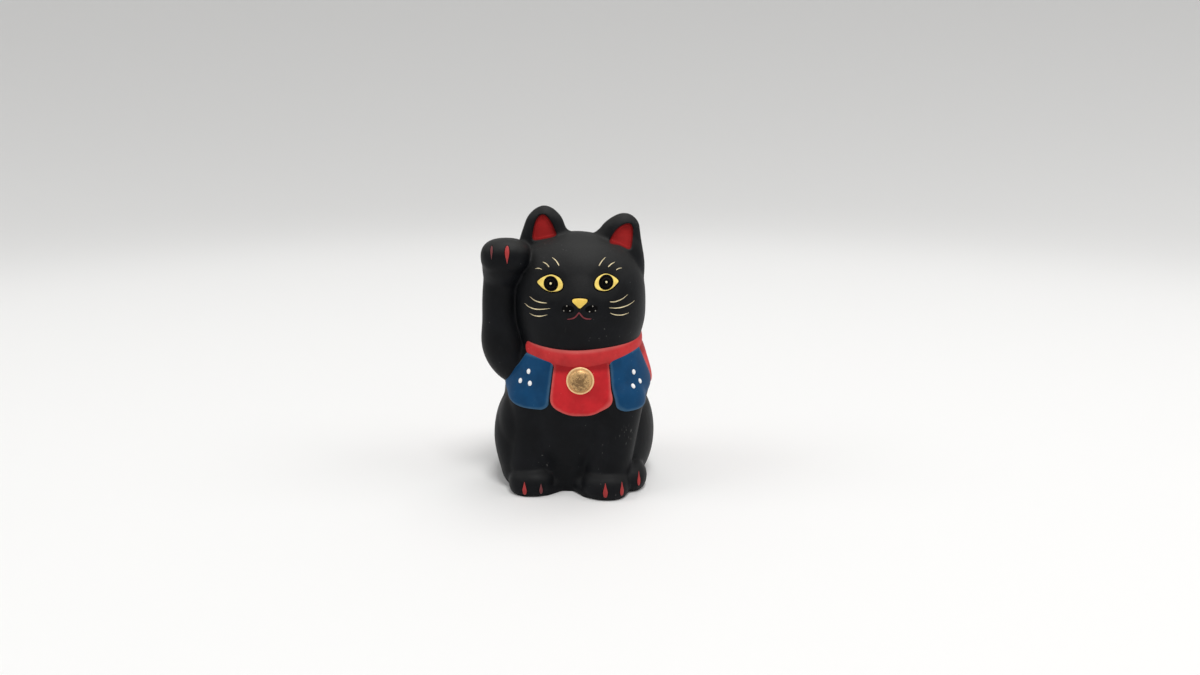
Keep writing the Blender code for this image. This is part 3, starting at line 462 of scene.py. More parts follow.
def loft(sections, low, high, squareness, rings=56, tip=0.0):
    """A closed form through level sections (centre x, half width, front, back), low to high.

    The tip is the share of the height that is rounded off at the top.
    """
    shape = unit_sphere(72, rings)
    for point in shape.verts:
        share = (point.co.z + 1) / 2
        x, half_width, front, back = along(sections, share)
        if share > 1 - tip:
            rounding = math.sqrt(max(0.0, 1 - ((share - 1 + tip) / tip) ** 2))
            half_width, front, back = half_width * rounding, front * rounding, back * rounding
        y = 0.0
        flat = math.hypot(point.co.x, point.co.y)
        if flat > TINY:
            across, deep = point.co.x / flat, point.co.y / flat
            x += math.copysign(abs(across) ** (2 / squareness), across) * half_width
            y += math.copysign(abs(deep) ** (2 / squareness), deep) * (back if deep > 0 else front)
        point.co = (x, y, low + (high - low) * share)
    return mesh_of(shape, "loft")


def put(name, data):
    """A new object in the scene."""
    made = bpy.data.objects.new(name, data)
    bpy.context.scene.collection.objects.link(made)
    return made


def smoothed(lump, times):
    """An object's mesh, smoothed after its own modifiers. The object is removed."""
    smooth = lump.modifiers.new("smooth", "SMOOTH")
    smooth.factor = 0.5
    smooth.iterations = times
    bpy.context.view_layer.update()
    graph = bpy.context.evaluated_depsgraph_get()
    found = bpy.data.meshes.new_from_object(lump.evaluated_get(graph))
    bpy.data.objects.remove(lump)
    return found


def kneaded(name, meshes, grain, softening):
    """One closed, smooth mesh from overlapping ones."""
    joined = bmesh.new()
    for mesh in meshes:
        joined.from_mesh(mesh)
        bpy.data.meshes.remove(mesh)
    mesh = bpy.data.meshes.new(name)
    joined.to_mesh(mesh)
    joined.free()
    lump = put(name, mesh)
    knead = lump.modifiers.new("knead", "REMESH")
    knead.mode = "VOXEL"
    knead.voxel_size = grain
    found = smoothed(lump, softening)
    bpy.data.meshes.remove(mesh)
    return found


def points_of(mesh, what="co"):
    """The vertices' places, or their normals, as rows of an array."""
    found = np.empty(len(mesh.vertices) * 3)
    mesh.vertices.foreach_get(what, found)
    return found.reshape(-1, 3)


def move_points(mesh, points):
    mesh.vertices.foreach_set("co", points.ravel())
    mesh.update()


def mark(mesh, name, values):
    """Writes a number on each of the mesh's vertices, for its material to read."""
    layer = mesh.attributes.new(name, "FLOAT", "POINT")
    layer.data.foreach_set("value", np.ascontiguousarray(values, dtype=np.float32))


class Skin:
    """The surface that marks are laid on."""

    def __init__(self, mesh):
        self.normals = points_of(mesh, "normal")
        self.faces = [tuple(face.vertices) for face in mesh.polygons]
        self.tree = BVHTree.FromPolygons([point.co for point in mesh.vertices], self.faces)

    def under(self, start, way):
        """Where a ray meets the skin, and the skin's normal there."""
        hit, _, face, _ = self.tree.ray_cast(start, way)
        if hit is None:
            hit, _, face, _ = self.tree.find_nearest(start)
        return hit, Vector(self.normals[list(self.faces[face])].mean(axis=0)).normalized()


def from_front(u, v):
    """A level ray at the figure's front; u is to the cat's left, v is up."""
    return Vector((u, -4 * HEAD_FRONT, v)), Vector((0.0, 1.0, 0.0))


def from_around(u, v):
    """A level ray at the neck's axis; u is the way round the trunk from the front, v is up."""
    outward = Vector((math.sin(u / TRUNK_FRONT), -math.cos(u / TRUNK_FRONT), 0.0))
    return outward * 4 * TRUNK_HALF_WIDTH + Vector((0.0, 0.0, v)), -outward


# Outlines


def curved(points, x, z, half_width, half_height):
    """A smooth closed outline through a few points, sized and put in its place."""
    ring = [*points[-1:], *points, *points[:2]]
    steps = 8 * len(points)
    found = [along(ring, (1 + len(points) * k / steps) / (len(ring) - 1)) for k in range(steps)]
    return [(x + u * half_width, z + v * half_height) for u, v in found]


def cornered(corners, steps=8):
    """A closed outline with straight sides and rounded corners; a corner is (u, v, rounding)."""
    found = []
    for k, (u, v, rounding) in enumerate(corners):
        corner = Vector((u, v))
        ends = []
        for other in (corners[k - 1], corners[(k + 1) % len(corners)]):
            ends.append(corner + (Vector(other[:2]) - corner).normalized() * rounding)
        for step in range(steps + 1):
            t = step / steps
            found.append(tuple(ends[0] * (1 - t) ** 2 + corner * 2 * t * (1 - t) + ends[1] * t**2))
    return found


def evenly(outline, count):
    """So many points, evenly spaced along a closed outline."""
    closed = [*outline, outline[0]]
    lengths = [0.0]
    for a, b in zip(closed, closed[1:]):
        lengths.append(lengths[-1] + math.dist(a, b))
    found, k = [], 0
    for step in range(count):
        goal = lengths[-1] * step / count
        while lengths[k + 1] < goal:
            k += 1
        t = (goal - lengths[k]) / max(1e-12, lengths[k + 1] - lengths[k])
        found.append(tuple(p + (q - p) * t for p, q in zip(closed[k], closed[k + 1])))
    return found


def depth_inside(outline, points):
    """How far each point is inside a closed outline, and below 0 outside it."""
    nearest = np.full(len(points), 1.0)
    inside = np.zeros(len(points), bool)
    for a, b in zip(outline, [*outline[1:], outline[0]]):
        a, b = np.array(a), np.array(b)
        side = b - a
        if not side.any():
            continue
        t = np.clip((points - a) @ side / (side @ side), 0, 1)
        nearest = np.minimum(nearest, np.linalg.norm(points - a - t[:, None] * side, axis=1))
        crosses = (a[1] > points[:, 1]) != (b[1] > points[:, 1])
        if side[1]:
            inside ^= crosses & (points[:, 0] < a[0] + side[0] * (points[:, 1] - a[1]) / side[1])
    return np.where(inside, nearest, -nearest)


def pat(skin, aim, outline, thickness, fullness=2.0, segments=48, rings=14):
    """A rounded pat inside an outline, laid on a skin. Its vertices say how near they are to its rim.

    A larger fullness makes a flatter top with a tighter edge.
    """
    rim = evenly(outline, segments)
    middle = [sum(p[k] for p in rim) / segments for k in (0, 1)]
    shape = unit_sphere(segments, rings)
    near = []
    for point in shape.verts:
        on_top = point.co.z > -TINY
        share = min(1.0, math.hypot(point.co.x, point.co.y))
        spoke = round(math.atan2(point.co.y, point.co.x) / math.tau * segments) % segments
        hit, normal = skin.under(*aim(*(m + (r - m) * share for m, r in zip(middle, rim[spoke]))))
        rise = (1 - share**fullness) ** (1 / fullness)
        height = thickness * rise - PAT_SINK if on_top else -PAT_SINK - PAT_ROOT * rise
        point.co = hit + normal * height
        near.append(share if on_top else 1.0)
    mesh = mesh_of(shape, "pat")
    mark(mesh, "rim", near)
    return mesh


def bead(skin, aim, place, radii, height):
    """A rounded bead, half sunk in the skin; the radii are across and up."""
    hit, normal = skin.under(*aim(*place))
    for side, rise in ((-2, 0), (2, 0), (0, -2), (0, 2)):
        normal = normal + skin.under(*aim(place[0] + side * radii[0], place[1] + rise * radii[1]))[1]
    normal.normalize()
    up = (Vector((0.0, 0.0, 1.0)) - normal * normal.z).normalized()
    across = up.cross(normal)
    shape = unit_sphere(24, 14)
    for point in shape.verts:
        x, y, z = point.co
        point.co = hit + across * x * radii[0] + up * y * radii[1] + normal * z * height
    return mesh_of(shape, "bead")


def brushed(skin, path, widths, width):
    """A raised brush stroke along points across and up, in mm, with widths as shares of the full width."""
    shape = unit_sphere(10, 30)
    for point in shape.verts:
        share = (1 - point.co.z) / 2
        round_end = min(1.0, 2.6 * math.hypot(point.co.x, point.co.y))
        turn = math.atan2(point.co.y, point.co.x)
        here = Vector(along(path, share))
        ahead, behind = (Vector(along(path, max(0.0, min(1.0, share + step)))) for step in (0.02, -0.02))
        side = (ahead - behind).normalized()
        half = width / 2 * along([(w,) for w in widths], share)[0] * round_end
        u, v = here.x * MM - side.y * math.cos(turn) * half, here.y * MM + side.x * math.cos(turn) * half
        hit, normal = skin.under(*from_front(u, v))
        lift = math.sin(turn) * BRUSH_HEIGHT * round_end if math.sin(turn) > TINY else -BRUSH_ROOT
        point.co = hit + normal * (lift - BRUSH_SINK)
    return mesh_of(shape, "stroke")


# Shaders


class Sum:
    """A shader value in an expression: each operator adds its Math node."""

    def __init__(self, coat, socket):
        self.coat, self.socket = coat, socket

    def joined(self, operation, first, second):
        return self.coat.value("Math", {0: first, 1: second}, operation=operation)

    def __add__(self, other):
        return self.joined("ADD", self, other)

    __radd__ = __add__

    def __sub__(self, other):
        return self.joined("SUBTRACT", self, other)

    def __rsub__(self, other):
        return self.joined("SUBTRACT", other, self)

    def __mul__(self, other):
        return self.joined("MULTIPLY", self, other)

    __rmul__ = __mul__


class Coat:
    """A material and its nodes."""

    def __init__(self, name):
        self.material = bpy.data.materials.new(name)
        self.material.use_nodes = True
        self.tree = self.material.node_tree
        self.shader = self.tree.nodes["Principled BSDF"]

    def node(self, kind, inputs, **settings):
        """A node of a type, with its settings, and the values or links of its sockets."""
        made = self.tree.nodes.new("ShaderNode" + kind)
        for name, value in settings.items():
            setattr(made, name, value)
        for socket, value in inputs.items():
            if isinstance(value, Sum):
                self.tree.links.new(value.socket, made.inputs[socket])
            else:
                made.inputs[socket].default_value = value
        return made

    def value(self, kind, inputs, output=0, **settings):
        """One output of a new node."""
        return Sum(self, self.node(kind, inputs, **settings).outputs[output])

    def set(self, **sockets):
        """Sets or links the shader's own sockets; an underscore stands for a space."""
        for name, value in sockets.items():
            socket = self.shader.inputs[name.replace("_", " ")]
            if isinstance(value, Sum):
                self.tree.links.new(value.socket, socket)
            else:
                socket.default_value = value

    def places(self, stretch=(1.0, 1.0, 1.0), turn=(0.0, 0.0, 0.0)):
        """Places on the piece, stretched and turned."""
        raw = self.value("TexCoord", {}, output="Object")
        return self.value("Mapping", {"Vector": raw, "Scale": stretch, "Rotation": turn})

    def noise(self, size, detail=2.0, where=None, roughness=0.5):
        """Cloudy noise from 0 to 1, of a real size in metres."""
        inputs = {"Vector": where or self.places(), "Scale": 1 / size}
        return self.value("TexNoise", {**inputs, "Detail": detail, "Roughness": roughness})

    def between(self, value, low, high):
        """0 below low, 1 above high, and smooth between them."""
        return self.value(
            "MapRange", {0: value, 1: low, 2: high, 3: 0.0, 4: 1.0}, interpolation_type="SMOOTHSTEP"
        )

    def blend(self, share, first, second):
        """Two colours mixed by a value."""
        colours = [c if isinstance(c, Sum) else (*c, 1.0) for c in (first, second)]
        return self.value("Mix", {0: share, 6: colours[0], 7: colours[1]}, output=2, data_type="RGBA")

    def marked(self, name):
        """A number that the mesh's vertices hold."""
        return self.value("Attribute", {}, output="Fac", attribute_name=name)

    def bumped(self, height, depth):
        """Relief of a depth in metres from a value of 0 to 1."""
        bump = self.value("Bump", {"Height": height, "Distance": depth, "Strength": 1.0})
        self.set(Normal=bump)


def scratches(coat, size, turn):
    """Fine straight scratches, few and scattered."""
    lines = coat.noise(size, 1.0, coat.places((1.0, 1.0, 0.06), turn))
    patches = coat.noise(9 * MM, 1.0, coat.places(turn=turn))
    return coat.between(lines, 0.735, 0.76) * coat.between(patches, 0.52, 0.62)


def black_clay(settings):
    """Matt black paint on fired clay, with dust, fine scratches, rubbed ridges and a painted sheen on faces
    that point up.
    """
    coat = Coat("black_clay")
    cloud = coat.noise(7 * MM, 3.0)
    grain = coat.noise(0.35 * MM, 3.0, roughness=0.6)
    ridge = coat.marked("ridge")
    rubbed = coat.between(ridge + (cloud - 0.5) * 0.5 + (grain - 0.5) * 0.6, 0.45, 1.0)
    specks = coat.between(coat.noise(0.5 * MM, 0.0), 0.815, 0.85) * coat.between(cloud, 0.5, 0.62)
    off = coat.value("VectorMath", {0: coat.places(), 1: SCUFF}, 1, operation="DISTANCE")
    lines = scratches(coat, 0.45 * MM, (0.0, 0.5, 0.3)) + scratches(coat, 0.5 * MM, (0.4, -0.7, 0.0))
    near = 1 - coat.between(off, *SCUFF_REACH)
    drawn_out = coat.places((1.0, 1.0, 0.3), (0.0, 0.6, 0.2))
    scuffs = coat.between(coat.noise(0.4 * MM, 1.0, drawn_out), 0.64, 0.70)
    lines = lines * (0.2 + near) + scuffs * near * 0.7
    tone = [c * 0.75 for c in settings.colour]
    paint = coat.blend(coat.between(cloud, 0.3, 0.7), tone, [c * 1.35 for c in settings.colour])
    # Faces that point up, and more so on the head, blend towards the pale black: dust that lies there and a
    # painted sheen where light from above falls
    facing = coat.value("TexCoord", {}, output="Normal")
    upward = coat.value("SeparateXYZ", {"Vector": facing}, output="Z")
    settled_dust_and_sheen = coat.between(upward + (cloud - 0.5) * 0.3, 0.0, 0.9)
    height = coat.value("SeparateXYZ", {"Vector": coat.places()}, output="Z")
    settled_dust_and_sheen = settled_dust_and_sheen * (0.7 + 0.8 * coat.between(height, NECK_HEIGHT / 2, NECK_HEIGHT + HEAD_HEIGHT))
    paint = coat.blend(rubbed * 0.35 + settled_dust_and_sheen * (0.26 + grain * 0.48), paint, settings.worn_and_sheen)
    paint = coat.blend(coat.between(specks + lines, 0.0, 1.0) * 0.7, paint, settings.dust)
    coat.set(Base_Color=paint, Roughness=0.51 + (grain - 0.5) * 0.25 - rubbed * 0.08 + (cloud - 0.5) * 0.1)
    coat.set(Specular_IOR_Level=0.12)
    coat.bumped(grain * 0.6 + coat.noise(1.6 * MM, 2.0) * 0.8 - lines * 0.4, 0.03 * MM)
    return coat.material


def relief_paint(name, colour, pale, rim=(0.87, 1.0), roughness=0.5):
    """Satin paint on relief: its rim is blended to a second colour (rubbed pale on the panels, a painted
    highlight on the collar's upper face, painted shade at the ear linings' edges), and it is darker with
    painted shade where marked under the collar band.
    """
    coat = Coat(name)
    cloud = coat.noise(5 * MM, 3.0)
    streak = coat.noise(1.6 * MM, 2.0)
    grain = coat.noise(0.3 * MM, 2.0)
    edge = coat.between(coat.marked("rim") + (streak - 0.5) * 0.05, *rim)
    deep, full = [c * 0.86 for c in colour], [min(1.0, c * 1.12) for c in colour]
    paint = coat.blend(coat.between(cloud, 0.3, 0.7), deep, full)
    paint = coat.blend(coat.between(streak, 0.5, 0.8) * 0.05, paint, pale)
    paint = coat.blend(edge * (0.35 + cloud * 0.4), paint, pale)
    # Painted shade under the collar band, where the mesh marks it
    paint = coat.blend(coat.marked("groove") * 0.6, paint, [c * 0.35 for c in colour])
    specks = coat.between(coat.noise(0.45 * MM, 0.0), 0.80, 0.84) * coat.between(cloud, 0.5, 0.6)
    paint = coat.blend(specks * 0.5, paint, pale)
    coat.set(Base_Color=paint, Roughness=roughness + (grain - 0.5) * 0.2 + (cloud - 0.5) * 0.12)
    coat.set(Specular_IOR_Level=0.08)
    coat.bumped(grain * 0.5 + streak * 0.7, 0.025 * MM)
    return coat.material


def gold_paint(colour):
    """Mottled gold, browner towards its middle and bright at the rim."""
    coat = Coat("gold_paint")
    blotch = coat.noise(0.9 * MM, 4.0, roughness=0.7)
    grain = coat.noise(0.28 * MM, 2.0)
    rim = coat.marked("rim")
    browner = coat.between(blotch + grain * 0.5 - rim * 0.45, 0.34, 0.70)
    brown = [c * s for c, s in zip(colour, (0.16, 0.12, 0.09))]
    bright = [min(1.0, c * s) for c, s in zip(colour, (1.4, 1.55, 1.9))]
    paint = coat.blend(browner * 0.8, colour, brown)
    paint = coat.blend(coat.between(rim + (grain - 0.5) * 0.10, 0.84, 0.94) * 0.9, paint, bright)
    coat.set(Base_Color=paint, Roughness=0.48 + (grain - 0.5) * 0.3 + browner * 0.12, Metallic=0.72 - browner * 0.3)
    coat.bumped(grain * 0.8 + blotch * 0.6, 0.05 * MM)
    return coat.material


def enamel(name, colour, roughness=0.3, spread=0.12, shine=0.25):
    """Thick enamel, a little uneven."""
    coat = Coat(name)
    cloud = coat.noise(1.2 * MM, 2.0)
    low, high = ([min(1.0, c * s) for c in colour] for s in (1 - spread, 1 + spread))
    coat.set(Base_Color=coat.blend(coat.between(cloud, 0.3, 0.7), low, high))
    coat.set(Roughness=roughness + (cloud - 0.5) * 0.15, Specular_IOR_Level=shine)
    coat.bumped(coat.noise(0.5 * MM, 1.0), 0.02 * MM)
    return coat.material


# Clay


def seat_point(across, forward, height):
    """A point of the turned seat."""
    return (
        -SEAT_OFFSET + across * math.cos(SEAT_TURN) - forward * math.sin(SEAT_TURN),
        -across * math.sin(SEAT_TURN) - forward * math.cos(SEAT_TURN),
        height,
    )


def trunk_forms():
    """The trunk, haunches, legs and paws."""
    shares = [
        # shares of the half width, the front and the back, and how far the seat's offset is felt
        (0.87, 0.83, 0.92, 1.0),
        (0.89, 0.87, 0.99, 1.0),
        (0.91, 0.93, 1.00, 1.0),
        (0.94, 0.99, 0.97, 0.7),
        (0.97, 1.00, 0.92, 0.3),
        (0.86, 0.98, 0.86, 0.1),
    ]
    sections = [
        (-SEAT_OFFSET * felt, TRUNK_HALF_WIDTH * wide, TRUNK_FRONT * front, TRUNK_BACK * back)
        for wide, front, back, felt in shares
    ]
    sections.append((0.0, NECK_HALF_WIDTH, NECK_FRONT, NECK_BACK))
    found = [
        loft(sections, -FOOTING, NECK_HEIGHT + 3 * MM, squareness=2.1),
        ball(seat_point(0.0, TRUNK_FRONT - BELLY[1], BELLY[2]), BELLY, -SEAT_TURN),
        ball(seat_point(*THIGH_PLACE), THIGH, -SEAT_TURN),
    ]
    for side in (-1, 1):
        x, forward, height = HAUNCH_PLACE
        found.append(ball(seat_point(side * x, forward, height + HAUNCH_LIFTS[side]), HAUNCH, -SEAT_TURN))
        paw = (FOREPAW_HALF_WIDTHS[side], *FOREPAW)
        found.append(ball(seat_point(*FOREPAW_PLACES[side]), paw, -SEAT_TURN, PAW_SQUARENESS))
        x, forward, height = HINDPAW_PLACE
        found.append(ball(seat_point(side * x + HINDPAW_SHIFT, forward, height), HINDPAW, -SEAT_TURN))
        shoulder, ankle = seat_point(*SHOULDER_PLACES[side]), seat_point(*FORELEG_PLACES[side])
        found += limb([(*shoulder, SHOULDER_RADIUS), (*ankle, FORELEG_RADIUS)])
        found += limb([(*seat_point(*place), radius) for place, radius in FILLETS[side]])
    found += limb([(*seat_point(*place), radius) for place, radius in FLANK])
    return found


def head_forms():
    """The head and its ears."""
    shares = [
        # shares of the half width, the front and the back
        (0.93, 0.955, 0.965),
        (0.99, 0.99, 0.99),
        (1.00, 1.00, 1.00),
        (0.985, 0.955, 0.99),
        (0.925, 0.865, 0.94),
        (0.77, 0.69, 0.79),
        (0.42, 0.38, 0.46),
    ]
    sections = [(0.0, NECK_HALF_WIDTH, NECK_FRONT, NECK_BACK)]
    for wide, front, back in shares:
        sections.append((0.0, HEAD_HALF_WIDTH * wide, HEAD_FRONT * front, HEAD_BACK * back))
    crown = NECK_HEIGHT + HEAD_HEIGHT
    skull = loft(sections, NECK_HEIGHT - 3 * MM, crown + 0.4 * MM, squareness=2.15, tip=0.09)
    for point in skull.vertices:
        point.co.z -= point.co.x * CROWN_ROLL * max(0.0, (point.co.z - NECK_HEIGHT) / HEAD_HEIGHT)
    found = [skull, ball(TEMPLE_PLACE, TEMPLE)]
    for x, lean, half_width, rise in EARS.values():
        leaf = [
            # shares of the lean, the half width and the half depth, from the root to the tip
            (0.0, 1.0, 1.0),
            (0.17, 0.965, 0.97),
            (0.37, 0.82, 0.85),
            (0.69, 0.64, 0.70),
            (1.0, 0.48, 0.54),
        ]
        sections = [
            (x + lean * out, half_width * wide, EAR_HALF_DEPTH * deep, EAR_HALF_DEPTH * deep)
            for out, wide, deep in leaf
        ]
        found.append(loft(sections, crown - EAR_ROOT, crown + rise, squareness=2.0, rings=48, tip=0.25))
    for flare in EAR_FLARES:
        found += limb([(*place, radius) for place, radius in flare], count=12)
    return found


def arm_forms():
    """The raised arm and its paw."""
    out, deep = ARM_OUT, ARM_FORWARD
    stations = [
        # from the shoulder round the elbow and up to the wrist
        (-out * 0.68, -deep * 0.7, ELBOW_HEIGHT + 0.5 * MM, ELBOW_RADIUS * 0.85),
        (-out * 0.865, -deep * 0.76, ELBOW_HEIGHT + ELBOW_RADIUS * 0.56, ELBOW_RADIUS * 0.97),
        (-out * 0.97, -deep * 0.88, ELBOW_HEIGHT + ELBOW_RADIUS * 1.28, ELBOW_RADIUS),
        (-out, -deep * 0.94, ELBOW_HEIGHT + (WRIST_HEIGHT - ELBOW_HEIGHT) * 0.53, ARM_RADIUS * 1.03),
        (-out, -deep, ELBOW_HEIGHT + (WRIST_HEIGHT - ELBOW_HEIGHT) * 0.78, ARM_RADIUS * 0.98),
        *PALM,
    ]
    return [*limb(stations, count=36), ball(RAISED_PAW_PLACE, RAISED_PAW, squareness=2.5)]


def tail_forms():
    """The tail, curled up the back to the cat's left."""
    stations = []
    first, last = TAIL_ANGLES
    for k in range(5):
        share = k / 4
        angle = math.radians(first + (last - first) * share**0.8)
        rise = TAIL_RADIUS * 0.9 + (TAIL_RISE - TAIL_RADIUS * 0.9) * share**2
        reach = TRUNK_BACK + 0.4 * MM
        place = (math.sin(angle) * reach - SEAT_OFFSET, math.cos(angle) * reach, rise)
        stations.append((*place, TAIL_RADIUS * (1 - 0.3 * share**2)))
    return limb(stations, count=24)


def ear_outline(side):
    """The edge of an ear's hollow."""
    return curved(LININGS[side], 0.0, 0.0, MM, MM)


def press(points, facing, place, reach, depth):
    """Pushes a soft round dimple, or with a negative depth a swelling, into what faces forward."""
    off = ((points[:, 0] - place[0]) / reach[0]) ** 2 + ((points[:, 2] - place[1]) / reach[1]) ** 2
    near = (off < 1) & (facing[:, 1] < 0)
    points[near, 1] += depth * (1 - off[near]) ** 2


def hollow_ears(points, facing):
    """Presses a flat-bottomed hollow with steep walls into the front of each ear."""
    for side in EARS:
        outline = np.array(evenly(ear_outline(side), 60))
        low, high = outline.min(axis=0), outline.max(axis=0)
        flat = points[:, [0, 2]]
        near = np.flatnonzero(((flat > low) & (flat < high)).all(axis=1) & (facing[:, 1] < -0.2))
        inside = depth_inside([tuple(p) for p in outline], flat[near])
        share = np.clip((inside + 0.35 * EAR_WALL) / EAR_WALL, 0, 1)
        points[near, 1] += EAR_HOLLOW * share**2 * (3 - 2 * share)


def stand_flat(points):
    """Cuts the underside flat at the floor, with a soft edge, and opens the vent."""
    z = points[:, 2]
    soft = (z + FLOOR_ROUNDING) ** 2 / (4 * FLOOR_ROUNDING)
    points[:, 2] = np.where(z < -FLOOR_ROUNDING, 0.0, np.where(z < FLOOR_ROUNDING, soft, z))
    from_vent = np.hypot(points[:, 0] + SEAT_OFFSET, points[:, 1] - 0.1 * TRUNK_BACK)
    under = (points[:, 2] < 0.1 * MM) & (from_vent < VENT_RADIUS)
    points[under, 2] += VENT_DEPTH


def ridges(mesh):
    """How far each vertex stands out of its surroundings, from 0 in a hollow to 1 on a ridge."""
    even = smoothed(put("ridges", mesh), RIDGE_SOFTENING)
    out = ((points_of(mesh) - points_of(even)) * points_of(mesh, "normal")).sum(axis=1)
    bpy.data.meshes.remove(even)
    return np.clip(out / RIDGE_HEIGHT, 0, 1)


def add_piece(name, mesh, material, nodes=()):
    """Puts a piece in its place, in the stead of the solids that it refines."""
    mesh.name = name
    mesh.materials.clear()
    mesh.materials.append(material)
    mesh.shade_smooth()
    piece = put(name, mesh)
    piece.location = NECK
    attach(piece, "root")
    if nodes:
        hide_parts(*nodes)


def lay(name, skin, outline, thickness, paint, slot, nodes=(), **form):
    """Adds a pat that is laid on a skin from the front, and returns its mesh."""
    mesh = pat(skin, from_front, outline, thickness, **form)
    add_piece(name, mesh, paint, nodes)
    return mesh


def clay_skin():
    """The clay's surface, which must be kneaded first."""
    return Skin(bpy.data.objects["clay"].data)


class MODEL_OT_lucky_cat_clay(bpy.types.Operator):
    """Knead the body, head, arm and tail, and press their details"""

    bl_idname = "lucky_cat.clay"
    bl_label = "Knead the Clay"

    def execute(self, context):
        settings = context.scene.lucky_cat_clay
        forms = [*trunk_forms(), *head_forms(), *arm_forms(), *tail_forms()]
        mesh = kneaded("clay", forms, settings.grain, settings.softening)
        points, facing = points_of(mesh), points_of(mesh, "normal")
        press(points, facing, MUZZLE_PLACE, MUZZLE[:2], -MUZZLE[2])
        for place in EYE_PLACES.values():
            press(points, facing, place, SOCKET[:2], -SOCKET[2])
        hollow_ears(points, facing)
        stand_flat(points)
        move_points(mesh, points)
        mark(mesh, "ridge", ridges(mesh))
        nodes = ("body_shell", "head_shell", "raised_arm", "tail")
        add_piece("clay", mesh, black_clay(settings), nodes)
        return {"FINISHED"}


def band_middle(angle):
    """The height of the collar band's middle, which tilts down to the front."""
    fall = np.cos(angle) * (NECK_FRONT + BAND_STANDOFF) * math.tan(BAND_TILT)
    return NECK_HEIGHT - BAND_DROP - fall + np.sin(angle) * BAND_ROLL


class MODEL_OT_lucky_cat_collar(bpy.types.Operator):
    """Wrap the collar band round the neck, from the arm to the arm"""

    bl_idname = "lucky_cat.collar"
    bl_label = "Wrap the Collar"

    def execute(self, context):
        settings = context.scene.lucky_cat_bib
        shape = unit_sphere(28, 200)
        near, underside_shade = [], []
        for point in shape.verts:
            share = (1 - point.co.z) / 2
            angle = math.radians(BAND_START + (BAND_END - BAND_START) * share)
            from_end = min(share, 1 - share) * math.radians(BAND_END - BAND_START) * NECK_FRONT
            half = settings.band_height / 2
            gone = max(0.0, 1 - from_end / (0.7 * half))
            taper = math.sqrt(max(0.0, 1 - gone**2))
            turn = math.atan2(point.co.y, point.co.x)
            across, up = (math.copysign(abs(c) ** 0.9, c) for c in (math.cos(turn), math.sin(turn)))
            out = BAND_STANDOFF + across * settings.band_thickness / 2 * (0.5 + 0.5 * taper)
            point.co = (
                math.sin(angle) * (NECK_HALF_WIDTH + out - BAND_TUCK * abs(math.sin(angle))),
                -math.cos(angle) * (NECK_FRONT + out),
                band_middle(angle) + BAND_LIFT * max(0.0, 1 - 5 * share) ** 2 + up * half * taper,
            )
            # The rim mark pales the band's upper face, a painted highlight where light from above falls, and
            # its ends, which are rubbed pale
            near.append(max(max(0.0, math.sin(turn)) ** 2, 0.8 * gone) if across > -0.2 else 0.0)
            # The band's lower face is marked for painted shade
            underside_shade.append(max(0.0, -math.sin(turn)) ** 4)
        mesh = mesh_of(shape, "collar")
        mark(mesh, "rim", near)
        mark(mesh, "groove", underside_shade)
        pale = (0.66, 0.17, 0.15)
        paint = relief_paint("collar_red", settings.collar, pale, rim=(0.30, 0.98))
        add_piece("collar", mesh, paint, ["collar_band"])
        return {"FINISHED"}


def panel_outline(start, end, drop, start_cut, end_cut, armpit=None):
    """A bib panel between two seams, from behind the band down to a hem with cut corners."""
    hem = NECK_HEIGHT - BIB_LENGTH - drop
    sides = []
    for seam, way, corner_cut in ((start, 1, start_cut), (end, -1, end_cut)):
        across, up, rounding = (size * MM for size in corner_cut)
        top_u, hem_u = (math.radians(angle) * TRUNK_FRONT + way * PANEL_SPACE / 2 for angle in seam)
        top = min(band_middle(top_u / TRUNK_FRONT), NECK_HEIGHT - 0.8 * MM)
        side_u = hem_u + (top_u - hem_u) * up / (top - hem)
        upper, lower = (side_u, hem + up, rounding), (hem_u + way * across, hem, rounding)
        sides.append([(top_u, top, 0.3 * MM), upper, lower])
    if armpit:
        u = sides[0][0][0]
        sides[0][:2] = [(u + across * MM, hem + up * MM, rounding * MM) for across, up, rounding in armpit]
    return cornered(sides[0] + sides[1][::-1])


class MODEL_OT_lucky_cat_bib(bpy.types.Operator):
    """Lay the bib's panels on the trunk, with their raised dots"""

    bl_idname = "lucky_cat.bib"
    bl_label = "Lay the Bib"

    def execute(self, context):
        settings = context.scene.lucky_cat_bib
        paints = {
            "red": relief_paint("bib_red", settings.red, (0.70, 0.17, 0.15)),
            "blue": relief_paint("bib_blue", settings.blue, (0.075, 0.17, 0.27)),
        }
        white = enamel("dot_white", settings.white, 0.35, 0.03)
        clay = context.scene.lucky_cat_clay
        trunk = kneaded("trunk", trunk_forms(), 1.5 * clay.grain, 2 * clay.softening)
        skin = Skin(trunk)
        bpy.data.meshes.remove(trunk)
        ends = [*SEAMS[1:], tuple(angle + 360.0 for angle in SEAMS[0])]
        for (name, drop, start_cut, end_cut, colour), start, end in zip(PANELS, SEAMS, ends):
            armpit = ARMPIT if name == "front_right" else None
            outline = panel_outline(start, end, drop, start_cut, end_cut, armpit)
            panel = pat(skin, from_around, outline, settings.relief, fullness=7.0, segments=144, rings=32)
            # The red panels darken just under the band: painted shade that the band casts
            if colour == "red":
                points = points_of(panel)
                around = np.arctan2(points[:, 0], -points[:, 1])
                under_band = band_middle(around) - settings.band_height / 2 - points[:, 2]
                mark(panel, "groove", np.clip(1 - under_band / UNDER_BAND_SHADE_REACH, 0, 1) ** 2)
            add_piece(f"bib_{name}", panel, paints[colour], [f"bib_panel_{name}"])
            top = Skin(panel)
            for number, (angle, up) in enumerate(DOTS.get(name, []), start=1):
                place = (math.radians(angle) * TRUNK_FRONT, NECK_HEIGHT - BIB_LENGTH + up)
                dot = bead(top, from_around, place, DOT_RADII, DOT_HEIGHT)
                add_piece(f"dot_{name}_{number}", dot, white, [f"bib_dot_{name}_{number}"])
        return {"FINISHED"}


